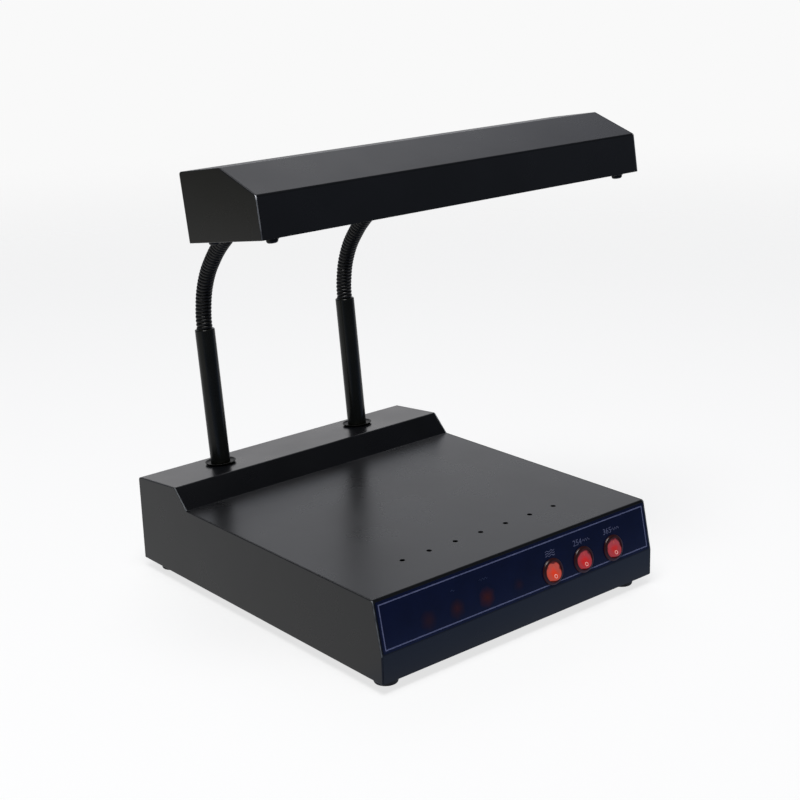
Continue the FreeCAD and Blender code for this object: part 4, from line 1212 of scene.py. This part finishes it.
def wound_neck(x):
    """A ribbed neck along its line, at a place along X."""
    line = neck_curve()
    length = line.data.splines[0].calc_length()
    turns = int(length / rib_pitch)
    pitch = length / (turns + 1)

    bpy.ops.object.select_all(action="DESELECT")
    bpy.ops.mesh.primitive_plane_add(size=1 * mm)
    neck = bpy.context.object
    with editing(neck):
        bpy.ops.mesh.merge(type="CENTER")
        bpy.ops.transform.translate(value=(0, neck_radius - rib_depth, 0))
        for i in range(rib_steps):
            rise = rib_height((i + 1) / rib_steps) - rib_height(i / rib_steps)
            step = {"value": (pitch / rib_steps, rise, 0)}
            bpy.ops.mesh.extrude_vertices_move(TRANSFORM_OT_translate=step)
    modify(
        neck, "SCREW", axis="X", screw_offset=pitch, iterations=turns, steps=neck_sides,
        render_steps=neck_sides, use_merge_vertices=True, merge_threshold=0.01 * mm,
    )
    with editing(neck):
        bpy.ops.mesh.remove_doubles(threshold=0.01 * mm)
        pick_edges(neck, is_open)
        bpy.ops.mesh.edge_face_add()
    modify(neck, "CURVE", object=line, deform_axis="POS_X")
    discard(line)
    return put(neck, at(x, 0, 0))


necks = [wound_neck(side * post_x) for side, _ in sides]
print("one neck has", len(necks[0].data.polygons), "faces")

# %% [markdown]
# ## Necks cut over their hinges
#
# The bent neck is cut into eight lengths, one over each hinge, with the cuts half way between
# two hinges. Each length hides the solids that it stands for, and the two lengths at a cut share
# its plane, so the ribs meet.


# %% Necks cut over their hinges
def cut_length(neck, name, start, end):
    """The length of a neck between two planes, each a point and a direction, closed."""
    piece = copied(neck, Matrix.Identity(4))
    piece.name = name
    with editing(piece):
        for plane, ahead in ((start, False), (end, True)):
            if plane:
                bpy.ops.mesh.select_all(action="SELECT")
                bpy.ops.mesh.bisect(
                    plane_co=plane[0], plane_no=plane[1], use_fill=True,
                    clear_inner=not ahead, clear_outer=ahead,
                )
    return piece


links = ["base"] + [f"neck_link_{k + 1}" for k in range(7)] + ["head"]
stands_for = [["neck_roots"]] + [[link] for link in links[1:8]]
stands_for[7].insert(0, "neck_tips")
middles = [(a + b) / 2 for a, b in zip(bends, bends[1:])]
cuts = [(m, (b - a).normalized()) for m, a, b in zip(middles, bends, bends[1:])]
planes = [None, *cuts, None]
for (_, name), neck in zip(sides, necks):
    for k in range(8):
        piece = cut_length(neck, f"neck_{name}_{k + 1}", planes[k], planes[k + 1])
        piece.data.materials.append(neck_wire)
        only(piece)
        bpy.ops.object.shade_smooth_by_angle(angle=radians(50))
        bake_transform(piece)
        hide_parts(*stands_for[k])
discard(*necks)

# %% [markdown]
# ## The lamp head's hood
#
# The head is folded like the base: back wall, flat top, sloping front top and a low
# front wall in one sheet, between two end plates. It is folded in its own frame, with
# the back wall at y = 0 and the underside at z = 0, where its sizes are easy to read,
# and then tilted onto the necks.

# %% The lamp head's hood
head_depth, head_top_depth = 86.0 * mm, 48.5 * mm
head_back_height, head_front_height = 48.0 * mm, 28.5 * mm
head_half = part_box("head_end_right")[1].x
head_profile = [
    (0, 0),
    (0, head_back_height),
    (-head_top_depth, head_back_height),
    (-head_depth, head_front_height),
    (-head_depth, 0),
]
head_fold_radii = [fold_radius] * 3

hood = fold_sheet(head_profile, head_fold_radii, sheet - head_half, head_half - sheet)
thickened(hood)
neck_hole_radius = 8.2 * mm
neck_holes = [at(side * post_x, 0, neck_entry) @ on_its_back for side, _ in sides]
cut_with(hood, *(punch(neck_hole_radius, place) for place in neck_holes))
eased(hood, punched_edge)
put(hood, head_place)
finished(hood, "head_hood", "head", [powder_coat], "head_shell")
print("head is", round(2 * head_half / mm), "mm long")

# %% [markdown]
# ## End plates of the head, worn at the front
#
# The head is moved by its front corners, and along the end plates' front edges the coat is worn
# through to the steel, which shows as a pale line. The line's brightest part, at the upper front
# corner of the left plate, is a painted highlight, so the worn finish is a fading map about that
# corner. Only the bevel wears it, and the flat faces keep their coat.

# %% End plates of the head
# Bare steel where the coat is worn: grey along the front edges, and bright and silvery at the
# left plate's upper front corner, which is a painted highlight.
worn_steel_and_painted_highlight, tree, shader = finish(
    "worn_steel_with_painted_corner_highlight", Metallic=0.3, Roughness=0.5,
)
painted_highlight_corner = head_place @ Vector((-head_half, -head_depth, head_front_height - 1.5 * mm))
wear_and_highlight = glow_map(
    tree, painted_highlight_corner, 28 * mm, 0.1, (0.0, "#e2e4e8"), (0.07, "#c4c6ca"),
    (0.14, "#7e8084"), (0.5, "#8a8c90"), (0.75, "#54555a"), (1.0, "#5a5b5f"),
)
tree.links.new(wear_and_highlight, shader.inputs["Base Color"])
bumpy(tree, shader, 0.5, 0.01)


def is_front_edge(face):
    """Whether a face is the bevel on an end plate's front, above its lower corner."""
    at_front = face.center.y < 0.8 * mm - head_depth and face.normal.y < -0.2
    return abs(face.normal.x) <= 0.95 and at_front and face.center.z > 1 * mm


for side, name in sides:
    outer, inner = side * head_half, side * (head_half - sheet)
    plate = plate_from(head_profile, head_fold_radii, outer, inner)
    # The front bevels get worn steel, with a painted highlight at the left plate's upper front
    # corner.
    edge_wear_and_painted_highlight(plate, 0.45 * mm, powder_coat, worn_steel_and_painted_highlight, is_front_edge)
    put(plate, head_place)
    finished(plate, "head_end_plate_" + name, "head", [], "head_end_" + name)
    flange_place = at(inner - side * 12 * mm, -head_depth / 2, 1.5 * sheet)
    flange = block((24 * mm, head_depth - 4 * sheet, sheet), flange_place)
    modify(flange, "BEVEL", width=flange_edge, segments=2)
    put(flange, head_place)
    finished(flange, "head_end_flange_" + name, "head", [powder_coat])
print("end plates:", len(plate.data.polygons), "faces each")

# %% [markdown]
# ## Hexagonal collars
#
# A hexagonal collar clamps each neck to the head's back wall. A real one is turned from
# hexagonal bar, and its corners are cut back at both ends in the lathe. Here the bar is
# a six-sided cylinder, and intersecting it with a turned shape does what the lathe does.

# %% Hexagonal collars
collar_flat, collar_length, collar_bore = 10.0 * mm, 9.0 * mm, 6.55 * mm
collar_thread_radius, collar_thread_length = 8.0 * mm, 8.0 * mm


def hexagon(flat_radius, height, bore):
    """A hexagonal collar standing on the origin, its corners turned off."""
    bpy.ops.object.select_all(action="DESELECT")
    corner = flat_radius / cos(pi / 6)
    middle = (0, 0, height / 2)
    bpy.ops.mesh.primitive_cylinder_add(vertices=6, radius=corner, depth=height, location=middle)
    piece = put(bpy.context.object, Matrix.Identity(4))
    cut_back = (corner - flat_radius) * 0.6
    tool = turn([
        (0, 0), (flat_radius, 0), (corner, cut_back),
        (corner, height - cut_back), (flat_radius, height), (0, height),
    ], steps=48)
    modify(piece, "BOOLEAN", operation="INTERSECT", solver="EXACT", object=tool)
    discard(tool)
    cut_with(piece, punch(bore, at(*middle), 2 * height))
    eased(piece, 0.15 * mm, angle=40)
    return piece


collar = hexagon(collar_flat, collar_length, collar_bore)
outward = about_x(-pi / 2)
for side, name in sides:
    place = head_place @ at(side * post_x, 0, neck_entry) @ outward
    made = copied(collar, place)
    finished(made, "neck_collar_" + name, "head", [black_screw], "neck_collars")
    thread = turn([
        (collar_bore, -collar_thread_length),
        (collar_thread_radius - 0.3 * mm, -collar_thread_length),
        (collar_thread_radius, 0.3 * mm - collar_thread_length),
        (collar_thread_radius, 0), (collar_bore, 0), (collar_bore, -collar_thread_length),
    ])
    put(thread, place)
    finished(thread, "collar_thread_" + name, "head", [black_screw])
discard(collar)
print("collars are", round(2 * collar_flat / mm), "mm across their flats")

# %% [markdown]
# ## Screws of the head
#
# Small turned parts are quick to make and say a lot about how a thing is put together.
# Four pan head screws with captive washers hold the head's bottom frame, and the front
# ones show under its edge. Each head is a low dome from a short profile, and its cross
# recess is two blocks cut into it, one after the other.


# %% Screws of the head
def pan_screw(radius, height, shank, length):
    """A pan head screw with a cross recess: head above the origin, shank below it."""
    piece = turn([
        (0, -length), (shank, -length), (shank, 0), (radius, 0), (radius, height * 0.35),
        (radius * 0.93, height * 0.65), (radius * 0.75, height * 0.88),
        (radius * 0.5, height * 0.98), (0, height),
    ], steps=40)
    slot = (radius * 1.1, radius * 1.1 / 4, 2 * height * 0.45)
    for quarter in (0, pi / 2):
        cut_with(piece, block(slot, Matrix.Rotation(quarter, 4, "Z") @ at(0, 0, height)))
    return piece


washer_height = 0.8 * mm
washer = turn([
    (2.1 * mm, 0), (4.6 * mm, 0), (4.8 * mm, 0.2 * mm), (4.8 * mm, 0.6 * mm),
    (4.6 * mm, washer_height), (2.1 * mm, washer_height), (2.1 * mm, 0),
])
bolt = pan_screw(4.0 * mm, 2.6 * mm, 2.0 * mm, 5.3 * mm)
upside_down = about_x(pi)
bolt_x, bolt_y = head_half - 14 * mm, (-9 * mm, 9 * mm - head_depth)
spots = [at(side * bolt_x, y, 0) for y in bolt_y for side, _ in sides]
for i, spot in enumerate(spots, 1):
    place = head_place @ spot @ upside_down
    made = copied(bolt, place @ at(0, 0, washer_height))
    finished(made, f"head_screw_{i}", "head", [black_screw], "head_screws")
    finished(copied(washer, place), f"head_washer_{i}", "head", [black_screw])
discard(bolt, washer)
print("screws under the head:", len(spots))

# %% [markdown]
# ## Rubber feet
#
# The base stands on four tapered rubber feet with the screws sunk into them, so that
# no metal touches the bench. Foot and screw are turned like the other small parts. A
# rubber foot comes out of its mould with soft edges, which its profile has already.

# %% Rubber feet
foot_inset, recess = 16 * mm, 4 * mm
foot = turn([
    (2.2 * mm, recess), (5 * mm, recess), (5 * mm, 0.3 * mm), (5.3 * mm, 0), (7.8 * mm, 0),
    (8.4 * mm, 0.2 * mm), (8.65 * mm, 0.7 * mm), (9.9 * mm, 7.3 * mm), (9.9 * mm, 7.8 * mm),
    (9.7 * mm, 8 * mm), (2.2 * mm, 8 * mm), (2.2 * mm, recess),
])
foot_bolt = pan_screw(3.7 * mm, 2.4 * mm, 2.0 * mm, 10.5 * mm)
foot_x, foot_y = half_width - foot_inset, back_y - foot_inset
corners = [at(sx * foot_x, sy * foot_y, 0) for sy, _ in sides for sx, _ in sides]
for i, place in enumerate(corners, 1):
    finished(copied(foot, place), f"rubber_foot_{i}", "base", [rubber], "rubber_feet")
    made = copied(foot_bolt, place @ at(0, 0, recess) @ upside_down)
    finished(made, f"foot_screw_{i}", "base", [zinc], "foot_screws")
discard(foot, foot_bolt)
print("feet:", len(corners))

# %% [markdown]
# ## Solids kept as they are
#
# The rest of the lamp sits inside the base or the head, or shows only from behind and
# below. Those solids have the right shape already, so they only get their finishes.

# %% Finishes for the kept solids
kept = {
    powder_coat: ["bottom_plate", "filter_frame"],
    zinc: [
        "base_screws", "foot_nuts", "post_nuts", "collar_nuts", "filter_retainer",
        "air_duct", "holder_brackets", "ballast_screws", "inlet_screws",
    ],
    black_plastic: ["power_inlet", "fan_frame", "fan_impeller", "ballast_spacers"],
    white_plastic: [
        "tube_holders", "terminal_block", "ballast_short_wave", "ballast_long_wave",
    ],
    heater_ceramic: ["heater_frame"],
    heater_wire: ["heater_coils"],
    brass: ["switch_terminals", "inlet_pins", "tube_pins"],
    aluminium: ["reflector", "tube_caps"],
    rubber: ["filter_gasket"],
    filter_glass: ["filter_glass"],
    tube_glass: ["tube_short_wave"],
    phosphor_tube: ["tube_long_wave"],
}
for material, names in kept.items():
    for name in names:
        mesh = frame["nodes"][name].data
        mesh.materials.clear()
        mesh.materials.append(material)
print("kept solids:", sum(len(names) for names in kept.values()))

# %% [markdown]
# ## The room that the paint reflects
#
# Black satin paint shows mostly what it mirrors, so the room matters more than the
# lamp. It is a bright wall behind the object and to its right, from the bench up to
# about 50 degrees: a ramp over the heading times a ramp over the rise. The dark band
# half way up it makes the work surface and the ledge differ. A dim glow on all sides,
# bluish in the middle and warm below, is what the front and the left side mirror. The
# camera itself sees a plain white instead. The values are linear light, not paint.

# %% The room
world = bpy.data.worlds.new("studio")
bpy.context.scene.world = world
world.use_nodes = True
tree = world.node_tree
tree.nodes.clear()
direction = add(tree, "ShaderNodeTexCoord").outputs["Generated"]
split = add(tree, "ShaderNodeSeparateXYZ", {"Vector": direction})
flat = {0: split.outputs["X"], 1: split.outputs["Y"]}
heading = add(tree, "ShaderNodeMath", flat, operation="ARCTAN2").outputs[0]
rise = add(tree, "ShaderNodeMath", {0: split.outputs["Z"]}, operation="ARCSINE").outputs[0]


def levels(source, low, high, *stops):
    """A smooth ramp over an angle in degrees, with stops of (angle, red, green, blue)."""
    span = {"Value": source, "From Min": radians(low), "From Max": radians(high)}
    share = add(tree, "ShaderNodeMapRange", span)
    ramp = add(tree, "ShaderNodeValToRGB", {"Fac": share.outputs["Result"]})
    ramp.color_ramp.interpolation = "EASE"
    set_stops(ramp, *(((angle - low) / (high - low), (*light, 1)) for angle, *light in stops))
    return ramp.outputs["Color"]


sideways = levels(
    heading, -90, 90, (-15, 0, 0, 0), (22, 1, 1, 1), (38, 1, 1, 1),
    (48, 0.93, 0.93, 0.93), (60, 0.38, 0.38, 0.4), (85, 0, 0, 0),
)
upward = levels(
    rise, -10, 80, (1, 0, 0, 0), (7, 1.05, 1.0, 0.93), (14, 0.82, 0.8, 0.78),
    (23, 0.58, 0.6, 0.64), (39, 1.22, 1.22, 1.27), (54, 0, 0, 0),
)
all_round = levels(
    rise, -20, 80, (-12, 0.26, 0.25, 0.165), (-5, 0.03, 0.03, 0.03),
    (5, 0.21, 0.235, 0.3), (30, 0.05, 0.055, 0.065), (60, 0.06, 0.065, 0.08),
)
wall = add(tree, "ShaderNodeVectorMath", {0: sideways, 1: upward}, operation="MULTIPLY")
room = add(tree, "ShaderNodeVectorMath", {0: wall.outputs[0], 1: all_round}, operation="ADD")
mirrored = add(tree, "ShaderNodeBackground", {"Color": room.outputs[0], "Strength": 1.0})
seen = add(tree, "ShaderNodeBackground", {"Color": colour("#f9f9f9"), "Strength": 1.0})
rays = add(tree, "ShaderNodeLightPath")
choice = {"Fac": rays.outputs["Is Camera Ray"], 1: mirrored.outputs[0], 2: seen.outputs[0]}
both = add(tree, "ShaderNodeMixShader", choice)
add(tree, "ShaderNodeOutputWorld", {"Surface": both.outputs[0]})
print("nodes in the room:", len(tree.nodes))

# %% [markdown]
# ## The floor
#
# To the camera the floor is white but keeps a soft shadow, so camera rays, and rays
# through glass, see a part of their white as emission. The paint mirrors it as a bench
# that is dim far in front of the object and lit from close in front of it onwards,
# cooler there than behind, which gives the side and the skirt their grey. The floor is
# part of the stage and not of the lamp.

# %% The floor
floor_radius, seen_share = 2.6, 0.74
floor_steps = {  # along Y: the two places in metres, and the levels at them
    "behind": (-0.2, -0.1, 0.0, 1.0),
    "near": (-0.5, -0.26, 0.17, 0.66),
}
floor_sums = {  # an operation on two of the floor's values, or on a number and one
    "shine": ("MULTIPLY", "mirrors", "near"),
    "looked_at": ("MAXIMUM", "camera", "through_glass"),
    "white": ("MULTIPLY", "looked_at", seen_share),
    "strength": ("MAXIMUM", "white", "shine"),
    "front": ("SUBTRACT", 1.0, "behind"),
    "cool": ("MULTIPLY", "mirrors", "front"),
}

bpy.ops.object.select_all(action="DESELECT")
bpy.ops.mesh.primitive_circle_add(vertices=128, radius=floor_radius, fill_type="NGON")
floor = bpy.context.object
floor.name = "floor"

# Matt card: no gloss of its own, so the object has no mirror image in it.
pale_card, tree, shader = finish("pale_matt_floor", Roughness=0.9, Specular_IOR_Level=0.0)
place = add(tree, "ShaderNodeTexCoord").outputs["Object"]
split = add(tree, "ShaderNodeSeparateXYZ", {"Vector": place})
rays = add(tree, "ShaderNodeLightPath")
value = {
    "camera": rays.outputs["Is Camera Ray"],
    "mirrors": rays.outputs["Is Glossy Ray"],
    "through_glass": rays.outputs["Is Transmission Ray"],
}
for name, (start, end, low, high) in floor_steps.items():
    span = {"From Min": start, "From Max": end, "To Min": low, "To Max": high}
    span["Value"] = split.outputs["Y"]
    node = add(tree, "ShaderNodeMapRange", span, interpolation_type="SMOOTHSTEP")
    value[name] = node.outputs["Result"]
for name, (operation, *pair) in floor_sums.items():
    inputs = {i: value.get(item, item) for i, item in enumerate(pair)}
    value[name] = add(tree, "ShaderNodeMath", inputs, operation=operation).outputs[0]
tints = {
    "Base Color": {"Factor": value["mirrors"], 6: colour("#949494"), 7: colour("#2e3238")},
    "Emission Color": {"Factor": value["cool"], 6: colour("#fefefe"), 7: colour("#a8c0f2")},
}
for socket, inputs in tints.items():
    tint = add(tree, "ShaderNodeMix", inputs, data_type="RGBA")
    tree.links.new(tint.outputs[2], shader.inputs[socket])
tree.links.new(value["strength"], shader.inputs["Emission Strength"])
floor.data.materials.append(pale_card)
print("values joined in the floor:", len(value))

# %% [markdown]
# ## The floor fades out
#
# A disc that simply ended would show its rim as a horizon. So the card turns clear
# between two distances from the middle, and past them the camera sees the room's white.

# %% The floor fades out
fade_from, fade_to = 0.8, 2.4
away = add(tree, "ShaderNodeVectorMath", {0: place}, operation="LENGTH").outputs["Value"]
span = {"Value": away, "From Min": fade_from, "From Max": fade_to}
fade = add(tree, "ShaderNodeMapRange", span, interpolation_type="SMOOTHSTEP").outputs["Result"]
clear = add(tree, "ShaderNodeBsdfTransparent")
faded = {"Fac": fade, 1: shader.outputs[0], 2: clear.outputs[0]}
edge = add(tree, "ShaderNodeMixShader", faded)
tree.links.new(edge.outputs[0], tree.nodes["Material Output"].inputs["Surface"])
print("nodes in the floor:", len(tree.nodes))

# %% [markdown]
# ## One soft lamp
#
# A single large area lamp hangs over the object, a little to the left and in front. It
# gives the soft shadow under the skirt and lifts the matt parts that mirror nothing. Its
# power is set so that a colour renders about as it is written.

# %% One soft lamp
lamp_place, lamp_target = Vector((-0.5, -0.4, 2.3)), Vector((0, 0, 0.1))
lamp_size, lamp_power = 1.2, 42

bpy.ops.object.light_add(type="AREA", location=lamp_place)
lamp = bpy.context.object
lamp.name = "overhead_softbox"
lamp.data.shape = "RECTANGLE"
lamp.data.size = lamp.data.size_y = lamp_size
lamp.data.energy = lamp_power
lamp.rotation_euler = (lamp_target - lamp_place).to_track_quat("-Z", "Y").to_euler()
print("lamp:", lamp.name, lamp.data.energy, "W")
